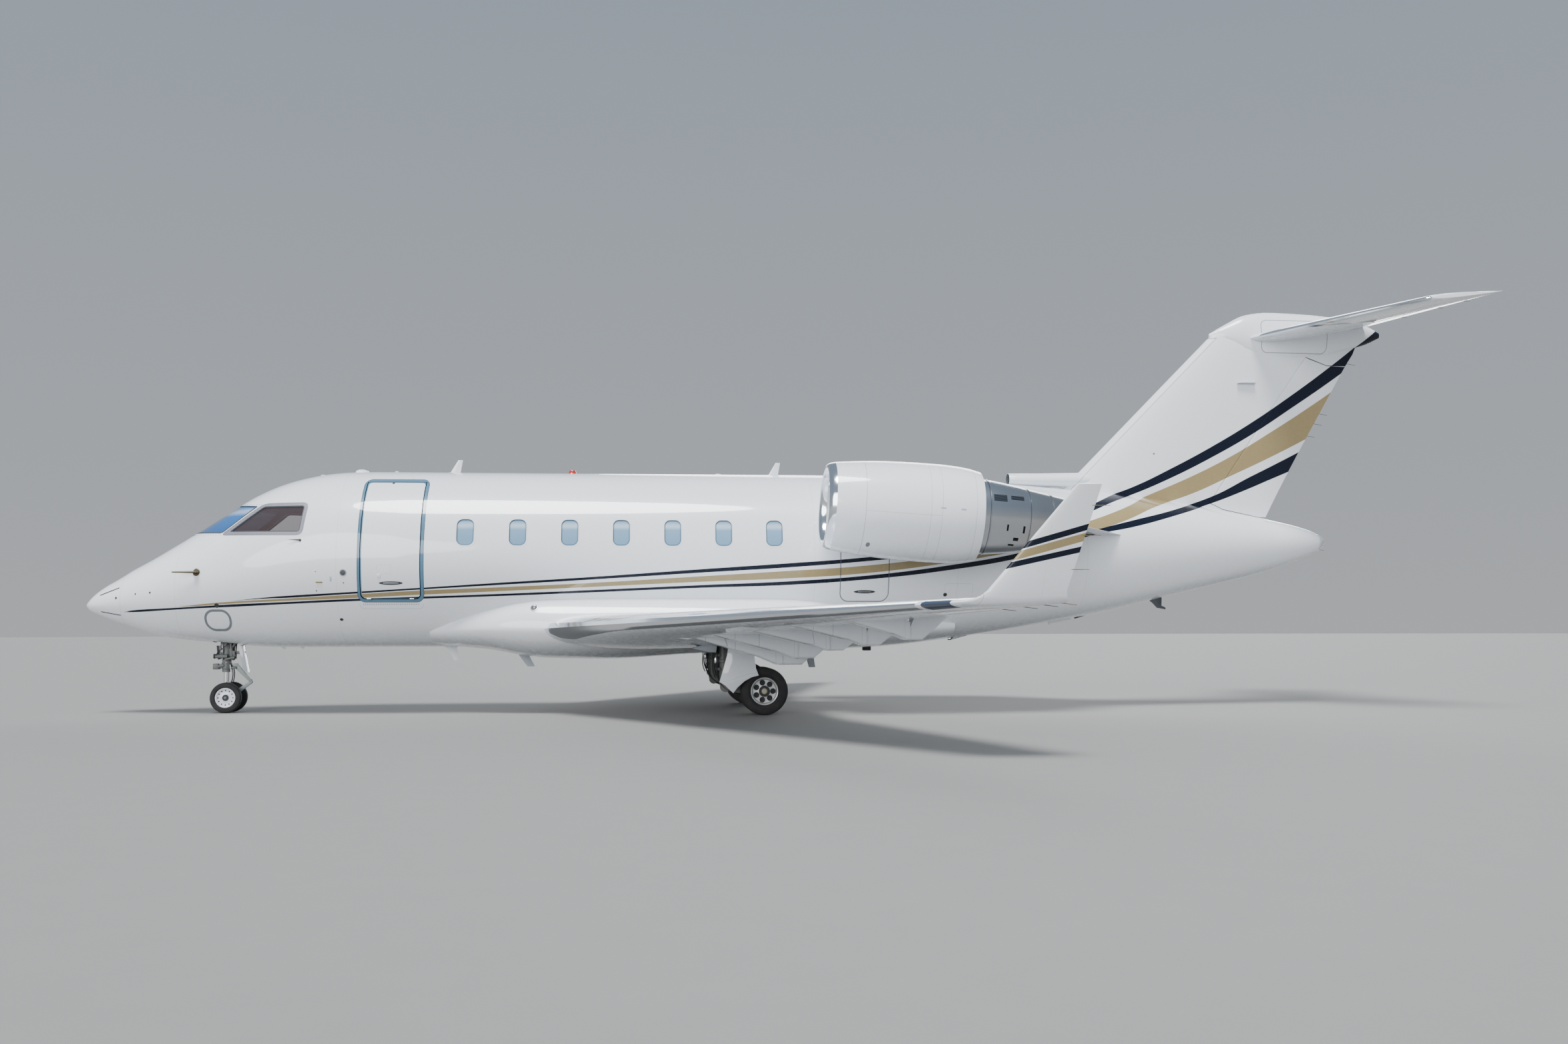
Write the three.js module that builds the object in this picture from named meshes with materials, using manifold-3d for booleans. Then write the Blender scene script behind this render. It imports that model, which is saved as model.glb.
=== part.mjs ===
// A twin-engined business jet, parked on its landing gear with the flaps down.
// Millimetres. Stations run aft from the nose tip, +Y is starboard, +Z is up from the ground.
import * as THREE from "three";
import { mergeVertices } from "three/addons/utils/BufferGeometryUtils.js";
import Module from "manifold-3d";

const wasm = await Module();
wasm.setup();

// Driving dimensions
const overallLength = 20850;
const fitGap = 0.3; // between pieces that touch
const runningGap = 0.5; // round a pin, an axle or a shaft
const surfaceGap = 8; // round a control surface or an opening door
const cabinWall = 90; // skin, frame and lining of the pressure cabin
const tailWall = 45;
const hullSides = 24;

// Fuselage sections: two half ellipses that meet at the greatest width
// station, top, bottom, half width, height of the greatest width
const hullSections = [
  [0, 1648, 1592, 28, 1620],
  [60, 1718, 1534, 112, 1624],
  [150, 1806, 1492, 190, 1632],
  [300, 1914, 1430, 290, 1650],
  [480, 2020, 1360, 385, 1680],
  [720, 2172, 1284, 500, 1725],
  [980, 2318, 1200, 612, 1775],
  [1280, 2502, 1128, 722, 1838],
  [1572, 2687, 1088, 812, 1905],
  [1900, 2908, 1056, 902, 1985],
  [2211, 3108, 1026, 982, 2060],
  [2500, 3290, 1000, 1052, 2130],
  [2897, 3470, 984, 1135, 2210],
  [3224, 3566, 982, 1192, 2262],
  [3552, 3630, 982, 1244, 2298],
  [3900, 3662, 982, 1288, 2318],
  [4300, 3671, 982, 1322, 2326],
  [4900, 3672, 982, 1345, 2327],
  [10900, 3672, 982, 1345, 2327],
  [11500, 3668, 984, 1342, 2329],
  [12500, 3645, 1010, 1315, 2345],
  [13590, 3595, 1140, 1235, 2385],
  [14244, 3553, 1235, 1165, 2420],
  [14903, 3505, 1345, 1080, 2460],
  [15511, 3455, 1455, 990, 2495],
  [16200, 3385, 1605, 880, 2535],
  [16817, 3305, 1755, 770, 2565],
  [17572, 3190, 1935, 630, 2595],
  [18266, 3062, 2100, 482, 2615],
  [18836, 2945, 2268, 340, 2630],
  [19200, 2850, 2405, 222, 2638],
  [19400, 2762, 2505, 130, 2640],
  [19510, 2672, 2608, 34, 2640],
];

// Stations that the hull's skin is drawn through
const hullStations = [
  0, 60, 180, 480, 980, 1572, 2050, 2600, 3224, 3900, 4900, 10900, 12500, 13590, 14903, 16200, 17572,
  18600, 19200, 19510,
];

// Wing-body fairing sections, of the same kind
const fairingSections = [
  [5180, 1500, 1010, 760, 1250],
  [5600, 1720, 975, 985, 1260],
  [6000, 1860, 938, 1170, 1265],
  [6500, 1985, 846, 1330, 1262],
  [6930, 2020, 800, 1405, 1255],
  [7800, 2025, 786, 1440, 1250],
  [9130, 2025, 858, 1440, 1250],
  [10400, 2020, 900, 1430, 1250],
  [11160, 1940, 918, 1370, 1250],
  [11870, 1800, 947, 1200, 1250],
  [12500, 1650, 998, 1000, 1260],
  [13150, 1450, 1085, 760, 1280],
];

// Wing sections on the starboard side, from the root to the winglet's tip
// y, leading edge x, leading edge z, chord, thickness share, incidence and cant in degrees
const wingSections = [
  [1300, 6846, 1253, 4030, 0.125, 2.0, 0],
  [3400, 8006, 1316, 2950, 0.115, 1.5, 0],
  [6300, 9607, 1402, 2035, 0.108, 0.7, 0],
  [9300, 11262, 1491, 1085, 0.1, 0, 0],
  [9420, 11350, 1502, 985, 0.095, 0, 12],
  [9490, 11440, 1536, 870, 0.09, 0, 48],
  [9525, 11525, 1600, 770, 0.085, 0, 74],
  [9788, 12335, 2592, 236, 0.08, 0, 76],
];
// Tailplane sections, trimmed nose down
const tailplaneSections = [
  [0, 18198, 5990, 2060, 0.095, -6.5, 0],
  [3080, 19655, 6017, 1185, 0.09, -6.5, 0],
  [3108, 19760, 6028, 1097, 0.045, -6.5, 0],
];
// Fin sections: z, leading edge x, chord, thickness share
const finSections = [
  [3050, 14680, 3850, 0.1],
  [3500, 15130, 3640, 0.1],
  [5560, 17180, 2790, 0.1],
  [5900, 17520, 2655, 0.1],
  [6060, 17679, 2300, 0.1],
];
// Fairing on the fin's tip, of the hull's kind
const finTipSections = [
  [17640, 6078, 6020, 14, 6050],
  [17900, 6228, 5900, 105, 6040],
  [18260, 6402, 5655, 165, 6030],
  [18620, 6454, 5590, 182, 6030],
  [19300, 6432, 5670, 182, 6050],
  [19900, 6372, 5820, 160, 6090],
  [20350, 6262, 5950, 105, 6100],
  [20580, 6150, 6060, 30, 6105],
];
// Hinged surfaces: start and end along the span, hinge line as a share of the chord,
// and how far forward of the hinge the wing's lower skin is cut back
const wingSurfaces = {
  flap_inboard: [1590, 3330, 0.76, 85],
  flap_outboard: [3470, 7120, 0.75, 60],
  aileron: [7290, 9040, 0.75, 20],
};
// Fairings over the flap hinges: place along the span, and depth below the hinge line
const hingeFairings = {
  flap_inboard: [[3190, 490]],
  flap_outboard: [[3800, 422], [4750, 345], [5740, 313], [6780, 283]],
};
const elevatorSpan = [340, 2960, 0.68, 10];
const rudderHinge = [17560, 3270, 19293, 5683]; // x and z of its foot and head

// Antennas along the centre line: middle of the root, height of the root, and reach
const antennas = [[5420, 3640, 235], [10385, 3640, 235], [5400, 1010, -240]];
const aerialDome = [[3915, 3640], [4130, 3640], [4110, 3692], [4050, 3712], [3980, 3712], [3930, 3690]];
const beacon = [7237, 3650, 3728, 62]; // station, foot, head, radius

// Cabin
const floorTop = 1606;
const floorThick = 50;
const windowFirst = 5742;
const windowPitch = 759;
const windowCount = 7;
const windowHeight = 2668;
const windowSize = [262, 402, 96]; // width, height, corner radius
const door = { front: 4248, rear: 5096, sill: 1700, head: 3450, headSlope: 0.36 };
const doorHinge = [-1196, 1694];
const doorGap = 12;
const baggageDoor = [11292, 12030, 1652, 2480];
const exitDoor = [8506, 9016, 2130, 3040];
const fixedDoorGap = 0.6;

// Engines, on an axis that drops towards the tail
const engine = { x: 10930, y: 2180, z: 3018, droop: 3.9, sides: 20 };
const fanBlades = 12;

// Landing gear
const mainWheel = { x: 10093, y: 1590, radius: 343, width: 216, rim: 178, spread: 210, axle: 50 };
const noseWheel = { x: 2103, y: 0, radius: 228.5, width: 112, rim: 104, spread: 172, axle: 26 };

const paint = {
  white: { color: 0xf2f3f5, roughness: 0.25, metalness: 0.05 },
  polished: { color: 0xcdd2d8, roughness: 0.15, metalness: 1 },
  hotMetal: { color: 0x8e949b, roughness: 0.3, metalness: 1 },
  gear: { color: 0xa7a8a0, roughness: 0.5, metalness: 0.3 },
  tyre: { color: 0x16171a, roughness: 0.9, metalness: 0 },
  rim: { color: 0xd2d4d6, roughness: 0.35, metalness: 0.8 },
  glass: { color: 0x6d8fa6, roughness: 0.05, metalness: 0 },
  cabin: { color: 0xb9a489, roughness: 0.8, metalness: 0 },
  dark: { color: 0x2a2d33, roughness: 0.5, metalness: 0.6 },
};

// Numbers and curves
const radians = (degrees) => (degrees * Math.PI) / 180;

// Value of each column of a table at a place, on a smooth curve that never overshoots its rows
function tableAt(rows, place) {
  const last = rows.length - 1;
  const at = Math.min(Math.max(place, rows[0][0]), rows[last][0]);
  let i = 0;
  while (i < last - 1 && rows[i + 1][0] < at) i++;
  const slope = (k, column) =>
    (rows[k + 1][column] - rows[k][column]) / (rows[k + 1][0] - rows[k][0]);
  const tangent = (k, column) => {
    if (k === 0) return slope(0, column);
    if (k === last) return slope(last - 1, column);
    const before = slope(k - 1, column);
    const after = slope(k, column);
    return before * after <= 0 ? 0 : (2 * before * after) / (before + after);
  };
  const width = rows[i + 1][0] - rows[i][0];
  const t = (at - rows[i][0]) / width;
  return rows[i].slice(1).map((from, c) => {
    const to = rows[i + 1][c + 1];
    const rise = (2 * t - 3) * t * t;
    const start = ((t - 2) * t + 1) * t * width * tangent(i, c + 1);
    const end = (t - 1) * t * t * width * tangent(i + 1, c + 1);
    return from * (1 + rise) - to * rise + start + end;
  });
}

// Straight-line value of each column of a table at a place
function straightAt(rows, place) {
  let i = 0;
  while (i < rows.length - 2 && rows[i + 1][0] < place) i++;
  const t = (place - rows[i][0]) / (rows[i + 1][0] - rows[i][0]);
  return rows[i].slice(1).map((from, c) => from + (rows[i + 1][c + 1] - from) * t);
}

// Outward-facing geometry with shared corners and no collapsed triangle
function tidied(geometry) {
  const bare = geometry.clone();
  bare.deleteAttribute("normal");
  bare.deleteAttribute("uv");
  const merged = mergeVertices(bare, 1e-3);
  const at = (i) => new THREE.Vector3().fromBufferAttribute(merged.attributes.position, i);
  const faces = [];
  let volume = 0;
  for (let i = 0; i < merged.index.count; i += 3) {
    const [a, b, c] = merged.index.array.slice(i, i + 3);
    if (a === b || b === c || c === a) continue;
    faces.push([a, b, c]);
    volume += at(a).dot(at(b).cross(at(c)));
  }
  merged.setIndex(faces.flatMap(([a, b, c]) => (volume < 0 ? [a, c, b] : [a, b, c])));
  return merged;
}

function solid(geometry) {
  const { attributes, index } = tidied(geometry);
  return new wasm.Manifold(
    new wasm.Mesh({
      numProp: 3,
      vertProperties: new Float32Array(attributes.position.array),
      triVerts: new Uint32Array(index.array),
    }),
  );
}

function union(solids) {
  return solids.reduce((sum, next) => sum.add(next));
}

// Skin through rings of points, each end closed to its middle
function loft(rings) {
  const sides = rings[0].length;
  const points = rings.flat();
  const index = [];
  for (let i = 0; i < rings.length - 1; i++) {
    for (let k = 0; k < sides; k++) {
      const a = i * sides + k;
      const b = i * sides + ((k + 1) % sides);
      index.push(a, a + sides, b + sides, a, b + sides, b);
    }
  }
  for (const i of [0, rings.length - 1]) {
    const sum = rings[i].reduce((total, point) => total.clone().add(point));
    const middle = points.push(sum.clone().divideScalar(sides)) - 1;
    for (let k = 0; k < sides; k++) {
      const a = i * sides + k;
      const b = i * sides + ((k + 1) % sides);
      if (i === 0) index.push(middle, a, b);
      else index.push(middle, b, a);
    }
  }
  const geometry = new THREE.BufferGeometry().setFromPoints(points);
  geometry.setIndex(index);
  return solid(geometry);
}

function block(x0, x1, y0, y1, z0, z1) {
  const geometry = new THREE.BoxGeometry(x1 - x0, y1 - y0, z1 - z0);
  return solid(geometry.translate((x0 + x1) / 2, (y0 + y1) / 2, (z0 + z1) / 2));
}

// Outlines are drawn in the plane across the named axis: y and z, x and z, or x and y
const drawingPlanes = {
  x: [[0, 1, 0], [0, 0, 1], [1, 0, 0]],
  y: [[1, 0, 0], [0, 0, 1], [0, -1, 0]],
  z: [[1, 0, 0], [0, 1, 0], [0, 0, 1]],
};

function extruded(shape, axis, from, to) {
  const columns = drawingPlanes[axis].map((column) => new THREE.Vector3(...column));
  const start = { x: [from, 0, 0], y: [0, to, 0], z: [0, 0, from] }[axis];
  const geometry = new THREE.ExtrudeGeometry(shape, {
    depth: to - from,
    bevelEnabled: false,
    curveSegments: 1,
  });
  geometry.applyMatrix4(new THREE.Matrix4().makeBasis(...columns));
  return solid(geometry.translate(...start));
}

function outline(points) {
  return new THREE.Shape(points.map(([a, b]) => new THREE.Vector2(a, b)));
}

function roundedRectangle(a0, a1, b0, b1, radius) {
  const shape = new THREE.Shape();
  shape.absarc(a1 - radius, b1 - radius, radius, 0, Math.PI / 2);
  shape.absarc(a0 + radius, b1 - radius, radius, Math.PI / 2, Math.PI);
  shape.absarc(a0 + radius, b0 + radius, radius, Math.PI, 1.5 * Math.PI);
  shape.absarc(a1 - radius, b0 + radius, radius, 1.5 * Math.PI, 2 * Math.PI);
  return shape;
}

// A rod or cone between two points
function rod(from, to, radius, radiusTo = radius, sides = 10) {
  const start = new THREE.Vector3(...from);
  const along = new THREE.Vector3(...to).sub(start);
  const geometry = new THREE.CylinderGeometry(radiusTo, radius, along.length(), sides);
  const upright = new THREE.Vector3(0, 1, 0);
  const turn = new THREE.Quaternion().setFromUnitVectors(upright, along.clone().normalize());
  geometry.applyQuaternion(turn);
  return solid(geometry.translate(...start.addScaledVector(along, 0.5).toArray()));
}

// A turned shape about an axis along x or y, from pairs of radius and place on the axis
function turned(profile, axis, sides) {
  const points = profile.map(([radius, place]) => new THREE.Vector2(radius, place));
  const geometry = new THREE.LatheGeometry(points, sides, Math.PI / sides);
  if (axis === "x") geometry.rotateZ(-Math.PI / 2);
  return solid(geometry);
}

// The circle that a polygon's corners lie on, where its flats just clear a radius
const flatsClear = (radius, sides) => radius / Math.cos(Math.PI / sides);

const aircraft = new THREE.Group();
aircraft.position.x = -overallLength / 2;

function addPiece(name, shape, finish, parent = aircraft) {
  const { vertProperties, triVerts } = shape.getMesh();
  const geometry = new THREE.BufferGeometry();
  geometry.setAttribute("position", new THREE.BufferAttribute(vertProperties, 3));
  geometry.setIndex(new THREE.BufferAttribute(triVerts, 1));
  geometry.computeVertexNormals();
  const piece = new THREE.Mesh(geometry, new THREE.MeshStandardMaterial(paint[finish]));
  piece.name = name;
  parent.add(piece);
  return piece;
}

// Ring of a skin at any place, straight between two of its stations
function sectionRing(rows, stations, place, grow, sides) {
  let i = 0;
  while (i < stations.length - 2 && stations[i + 1] < place) i++;
  const share = (place - stations[i]) / (stations[i + 1] - stations[i]);
  const ends = [stations[i], stations[i + 1]].map((station) => tableAt(rows, station));
  const [top, bottom, halfWidth, widest] = ends[0].map((from, c) => from + (ends[1][c] - from) * share);
  return Array.from({ length: sides }, (_, k) => {
    const turn = (2 * Math.PI * k) / sides;
    const reach = Math.cos(turn) > 0 ? top - widest : widest - bottom;
    return new THREE.Vector3(
      place,
      (halfWidth + grow) * Math.sin(turn),
      widest + (reach + grow) * Math.cos(turn),
    );
  });
}

function skin(rows, stations, from, to, { grow = 0, sides = hullSides }) {
  const between = stations.filter((station) => station > from + 1 && station < to - 1);
  const places = [from, ...between, to];
  return loft(places.map((place) => sectionRing(rows, stations, place, grow, sides)));
}

const hull = (from, to, grow) => skin(hullSections, hullStations, from, to, { grow });
const aboveFloor = (from, to) =>
  block(from - 1, to + 1, -2000, 2000, floorTop - floorThick, 4000);

function band(from, to, outer, inner) {
  return hull(from, to, outer).subtract(hull(from - 5, to + 5, inner));
}

// Windows, as outlines of x and z seen from the side
const windowShape = (i, shrink) =>
  roundedRectangle(
    windowFirst + i * windowPitch - windowSize[0] / 2 + shrink,
    windowFirst + i * windowPitch + windowSize[0] / 2 - shrink,
    windowHeight - windowSize[1] / 2 + shrink,
    windowHeight + windowSize[1] / 2 - shrink,
    windowSize[2] - shrink,
  );
const windscreenOutline = (shrink) =>
  outline([
    [1480, 2696 + shrink],
    [2150 - shrink, 2668 + shrink],
    [2650 - shrink * 2.4, 3082 - shrink],
    [2180, 3124 - shrink],
    [1480, 3124 - shrink],
  ]);
const sideWindowOutline = (shrink) =>
  outline([
    [2238 + shrink * 2.6, 2676 + shrink],
    [3352 - shrink, 2664 + shrink],
    [3392 - shrink, 3082 - shrink],
    [2745 + shrink * 0.6, 3080 - shrink],
  ]);
const paneRebate = 0.5;
const centrePost = 26;

// Hinges along the entrance door's foot: where each bracket stands, and which way its pin points
const doorHinges = [[4300, 1], [5044, -1]];
const doorPin = 5;

function doorRod(from, to, radius, sides = 12) {
  return rod([from, ...doorHinge], [to, ...doorHinge], radius, radius, sides);
}

function doorWedge(grow) {
  const { sill, head, headSlope } = door;
  const headAt = (y) => head + grow - (y + 740) * headSlope;
  return extruded(
    outline([[-2000, sill - grow], [-300, sill - grow], [-300, headAt(-300)], [-2000, headAt(-2000)]]),
    "x",
    door.front - grow,
    door.rear + grow,
  );
}

// Swept blade that stands on the centre line
function antennaBlade([x, foot, reach]) {
  const edge = outline([[x - 85, foot], [x + 85, foot], [x + 125, foot + reach], [x + 55, foot + reach]]);
  return extruded(edge, "y", -12, 12);
}

// Air data probe on its mast, to starboard
function probe() {
  const mast = block(1790, 1870, 840, 966, 2080, 2100);
  return mast.add(rod([1830, 955, 2090], [1505, 955, 2090], 14, 9, 8));
}

function buildFuselage() {
  addPiece("radome", hull(0, 480, 0), "white");
  addPiece("nose_section", hull(480 + fitGap, 1500 - fitGap, 0), "white");

  // Cockpit, with its windscreen and side windows
  const cockpitVoid = hull(1560, 3960, -cabinWall).intersect(aboveFloor(1560, 3960));
  const screenHole = (shrink) =>
    extruded(windscreenOutline(shrink), "y", centrePost / 2 + shrink, 1500).add(
      extruded(windscreenOutline(shrink), "y", -1500, -centrePost / 2 - shrink),
    );
  const sideHole = (shrink, side) =>
    extruded(sideWindowOutline(shrink), "y", side < 0 ? -1500 : 300, side < 0 ? -300 : 1500);
  const noseBay = block(1890, 2330, -190, 190, 800, 1290);
  const cockpit = hull(1500, 3900, 0)
    .subtract(cockpitVoid)
    .subtract(screenHole(0))
    .subtract(sideHole(0, 1))
    .subtract(sideHole(0, -1))
    .subtract(noseBay);
  addPiece("cockpit_shell", union([cockpit, probe(), probe().mirror([0, 1, 0])]), "white");
  for (const [word, side] of [["left", -1], ["right", 1]]) {
    const pane = band(1450, 3400, -6, -30);
    const screen = pane.intersect(
      extruded(
        windscreenOutline(paneRebate),
        "y",
        side < 0 ? -1500 : centrePost / 2 + paneRebate,
        side < 0 ? -centrePost / 2 - paneRebate : 1500,
      ),
    );
    addPiece("windscreen_" + word, screen, "glass");
    addPiece("side_window_" + word, pane.intersect(sideHole(paneRebate, side)), "glass");
  }

  // Cabin barrel, with its windows, the entrance and the overwing exit
  const [exitFront, exitRear, exitSill, exitHead] = exitDoor;
  const exitHole = (shrink) =>
    extruded(
      roundedRectangle(exitFront + shrink, exitRear - shrink, exitSill + shrink, exitHead - shrink, 110),
      "y",
      400,
      1500,
    );
  const windowHoles = union(
    Array.from({ length: windowCount }, (_, i) => extruded(windowShape(i, 0), "y", -1500, 1500)),
  );
  const [hingeY, hingeZ] = doorHinge;
  const brackets = doorHinges.map(([at, way]) =>
    block(at - (way < 0 ? 30 : 0), at + (way > 0 ? 30 : 0), hingeY - 8, hingeY + 60, 1640, hingeZ + 1).add(
      doorRod(at, at + way * 100, doorPin, 10),
    ),
  );
  const barrel = hull(3900 + fitGap, 10900, 0)
    .subtract(hull(3880, 10920, -cabinWall).intersect(aboveFloor(3880, 10920)))
    .subtract(doorWedge(doorGap))
    .subtract(exitHole(0))
    .subtract(windowHoles);
  const [beaconX, beaconFoot, beaconHead, beaconRadius] = beacon;
  const fittings = [
    ...antennas.map(antennaBlade),
    rod([beaconX, 0, beaconFoot], [beaconX, 0, beaconHead], beaconRadius, beaconRadius * 0.7),
    extruded(outline(aerialDome), "y", -60, 60),
  ];
  addPiece("cabin_shell", union([barrel, ...brackets, ...fittings]), "white");
  const wallBand = band(8300, 9200, 0, -cabinWall);
  const exitPanel = wallBand.intersect(exitHole(fixedDoorGap)).subtract(windowHoles);
  addPiece("overwing_exit", exitPanel, "white");
  for (const [word, side] of [["left", -1], ["right", 1]]) {
    const half = (a, b) => (side < 0 ? [-b, -a] : [a, b]);
    const strip = band(5500, 10560, -cabinWall - fitGap, -cabinWall - 12).intersect(
      block(5560, 10480, ...half(900, 1400), 2430, 2906),
    );
    const panes = Array.from({ length: windowCount }, (_, i) =>
      band(5500, 10560, -22, -cabinWall - 8).intersect(
        extruded(windowShape(i, paneRebate), "y", ...half(900, 1500)),
      ),
    );
    addPiece("cabin_windows_" + word, union([strip, ...panes]), "glass");
  }

  // Rear fuselage: baggage bay, pressure bulkhead and the bay behind it
  const [bagFront, bagRear, bagSill, bagHead] = baggageDoor;
  const bagHole = (shrink) =>
    extruded(
      roundedRectangle(bagFront + shrink, bagRear - shrink, bagSill + shrink, bagHead - shrink, 120),
      "y",
      -1500,
      -500,
    );
  const rear = hull(10900 + fitGap, 15200, 0)
    .subtract(hull(10880, 12440, -cabinWall).intersect(aboveFloor(10880, 12440)))
    .subtract(hull(12510, 15220, -tailWall))
    .subtract(bagHole(0));
  addPiece("rear_fuselage", rear, "white");
  addPiece("baggage_door", band(11100, 12200, 0, -cabinWall).intersect(bagHole(fixedDoorGap)), "white");
  const cone = hull(15200 + fitGap, 19510, 0).subtract(hull(15180, 19100, -tailWall));
  addPiece("tail_cone", cone, "white");
}

// Entrance door with its stairs, on a hinge along its foot
function buildDoor() {
  const panel = band(4100, 5300, 0, -cabinWall).intersect(doorWedge(0));
  const stepCount = 5;
  const stepLean = radians(30);
  const treads = Array.from({ length: stepCount }, (_, i) => {
    const height = 1860 + i * 290;
    const [, , , widest] = tableAt(hullSections, 4700);
    const across = Math.sqrt((1345 - cabinWall) ** 2 - (height - widest) ** 2) + 30;
    const reach = 235;
    const thick = 34;
    const tip = [-across + reach * Math.cos(stepLean), height + reach * Math.sin(stepLean)];
    return extruded(
      outline([[-across, height], [tip[0], tip[1]], [tip[0], tip[1] + thick], [-across, height + thick]]),
      "x",
      4330,
      5014,
    );
  });
  const [hingeY, hingeZ] = doorHinge;
  const knuckles = doorHinges.map(([at, way]) => {
    const ends = [at + way * 35, at + way * 95].sort((a, b) => a - b);
    const ear = block(...ends, hingeY - 4, hingeY + 50, hingeZ + 3, hingeZ + 40);
    return doorRod(...ends, 11).add(ear);
  });
  const bores = doorHinges.map(([at, way]) =>
    doorRod(at + way * 30, at + way * 105, flatsClear(doorPin + runningGap, 12)),
  );
  const door = union([panel, ...treads, ...knuckles]).subtract(union(bores));
  addPiece("passenger_door", door, "white");
}

// Seat seen from the side, facing the nose; its back leans aft
const seatOutline = [
  [0, 0], [90, 0], [90, 230], [430, 230], [520, 20], [640, 20], [600, 330], [740, 1080], [640, 1100],
  [500, 440], [30, 440], [0, 380],
];

function seat(front, y, width, facing, base) {
  const points = seatOutline.map(([x, z]) => [front + (facing > 0 ? x : 740 - x), base + z]);
  return extruded(outline(points), "y", y - width / 2, y + width / 2);
}

function buildInterior() {
  const floorBase = floorTop - floorThick + fitGap;
  const deck = (from, to) =>
    hull(from, to, -cabinWall - 2).intersect(block(from, to, -1400, 1400, floorBase, floorTop));
  const rows = [[5620, 1], [6900, -1], [8180, 1], [9460, -1]];
  const cabinSeats = rows.flatMap(([front, facing]) =>
    [-1, 1].map((side) => seat(front, side * 640, 560, -facing, floorTop - 10)),
  );
  addPiece("cabin_interior", union([deck(3960, 12430), ...cabinSeats]), "cabin");
  const panel = extruded(
    outline([
      [2050, 1596], [2230, 1596], [2330, 2120], [2420, 2480],
      [2400, 2560], [2080, 2560], [1960, 2200],
    ]),
    "y",
    -640,
    640,
  );
  const pedestal = block(2250, 3020, -150, 150, 1596, 2060);
  const pilotSeats = [-1, 1].map((side) => seat(2720, side * 470, 470, 1, floorTop - 10));
  const cockpit = union([deck(1720, 3940), panel, pedestal, ...pilotSeats]);
  addPiece("cockpit_interior", cockpit, "cabin");
}

// Aerofoils
const aerofoilShares = [0, 0.02, 0.1, 0.32, 0.75, 1];
const halfThickness = (share) =>
  5 *
  (0.2969 * Math.sqrt(share) -
    0.126 * share -
    0.3516 * share ** 2 +
    0.2843 * share ** 3 -
    0.1 * share ** 4);

// Ring of an aerofoil with its chord aft from its nose
function aerofoilRing({ nose, chord, thick, incidence = 0, cant = 0, upright = false, grow = 0 }) {
  const a = radians(incidence);
  const c = radians(cant);
  const aft = new THREE.Vector3(Math.cos(a), 0, -Math.sin(a));
  const up = upright
    ? new THREE.Vector3(0, 1, 0)
    : new THREE.Vector3(Math.sin(a) * Math.cos(c), -Math.sin(c), Math.cos(a) * Math.cos(c));
  const start = new THREE.Vector3(...nose);
  const point = (share, side) =>
    start
      .clone()
      .addScaledVector(aft, share * chord + (share * 2 - 1) * grow)
      .addScaledVector(up, side * (halfThickness(share) * thick * chord + grow));
  const upper = aerofoilShares.slice(1).map((share) => point(share, 1));
  const lower = aerofoilShares.slice(1).map((share) => point(share, -1)).reverse();
  return [start.clone().addScaledVector(aft, -grow), ...upper, ...lower];
}

const spanRing = (row, grow) =>
  aerofoilRing({
    nose: [row[1], row[0], row[2]],
    chord: row[3],
    thick: row[4],
    incidence: row[5],
    cant: row[6],
    grow,
  });

function spanLoft(rows, grow = 0, extend = 0) {
  const rings = rows.map((row) => spanRing(row, grow));
  rings[0].forEach((point) => (point.y -= extend));
  return loft(rings);
}

// Place and half thickness on a surface's mid line
function spanPoint(rows, y, share) {
  const [x, z, chord, thick, incidence] = straightAt(rows, y);
  const along = share * chord;
  const a = radians(incidence);
  return {
    at: [x + along * Math.cos(a), y, z - along * Math.sin(a)],
    half: halfThickness(share) * thick * chord,
  };
}

const pinRadius = 9;
const pinReach = 40;

// Cut a hinged surface out of a wing: what moves, and the wing with its pins
function splitSurface(whole, rows, [y0, y1, share, relief]) {
  const first = spanPoint(rows, y0, share);
  const last = spanPoint(rows, y1, share);
  const from = new THREE.Vector3(...first.at);
  const to = new THREE.Vector3(...last.at);
  const length = to.distanceTo(from);
  const along = to.clone().sub(from).normalize();
  const aft = along.clone().cross(new THREE.Vector3(0, 0, 1)).normalize();
  const hinge = new THREE.Matrix4().makeBasis(aft, along, aft.clone().cross(along));
  hinge.setPosition(from);
  // In the hinge's own frame, so that the ends stay in their planes as the surface turns
  const region = (gap) =>
    block(0, 1600, -gap, length + gap, -600, 600)
      .add(rod([0, -gap, 0], [0, length + gap, 0], first.half + 2 + gap, last.half + 2 + gap, 14))
      .transform(hinge.toArray());
  const pins = [
    [from, -1],
    [to, 1],
  ].map(([end, out]) => (radius, sides, reach) => {
    const outer = end.clone().addScaledVector(along, out * 40);
    const inner = end.clone().addScaledVector(along, -out * reach);
    return rod(outer.toArray(), inner.toArray(), radius, radius, sides);
  });
  const lip = block(-relief, 1, -surfaceGap, length + surfaceGap, -600, -0.3 * last.half);
  let moving = whole.intersect(region(0));
  let fixed = whole.subtract(region(surfaceGap)).subtract(lip.transform(hinge.toArray()));
  for (const pin of pins) {
    moving = moving.subtract(pin(flatsClear(pinRadius + runningGap, 12), 12, pinReach + 5));
    fixed = fixed.add(pin(pinRadius, 10, pinReach));
  }
  return { moving, fixed, from, along, hinge };
}

const fairingHalf = 75;
const fairingShell = 12;
const fairingSeam = -15;

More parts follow.
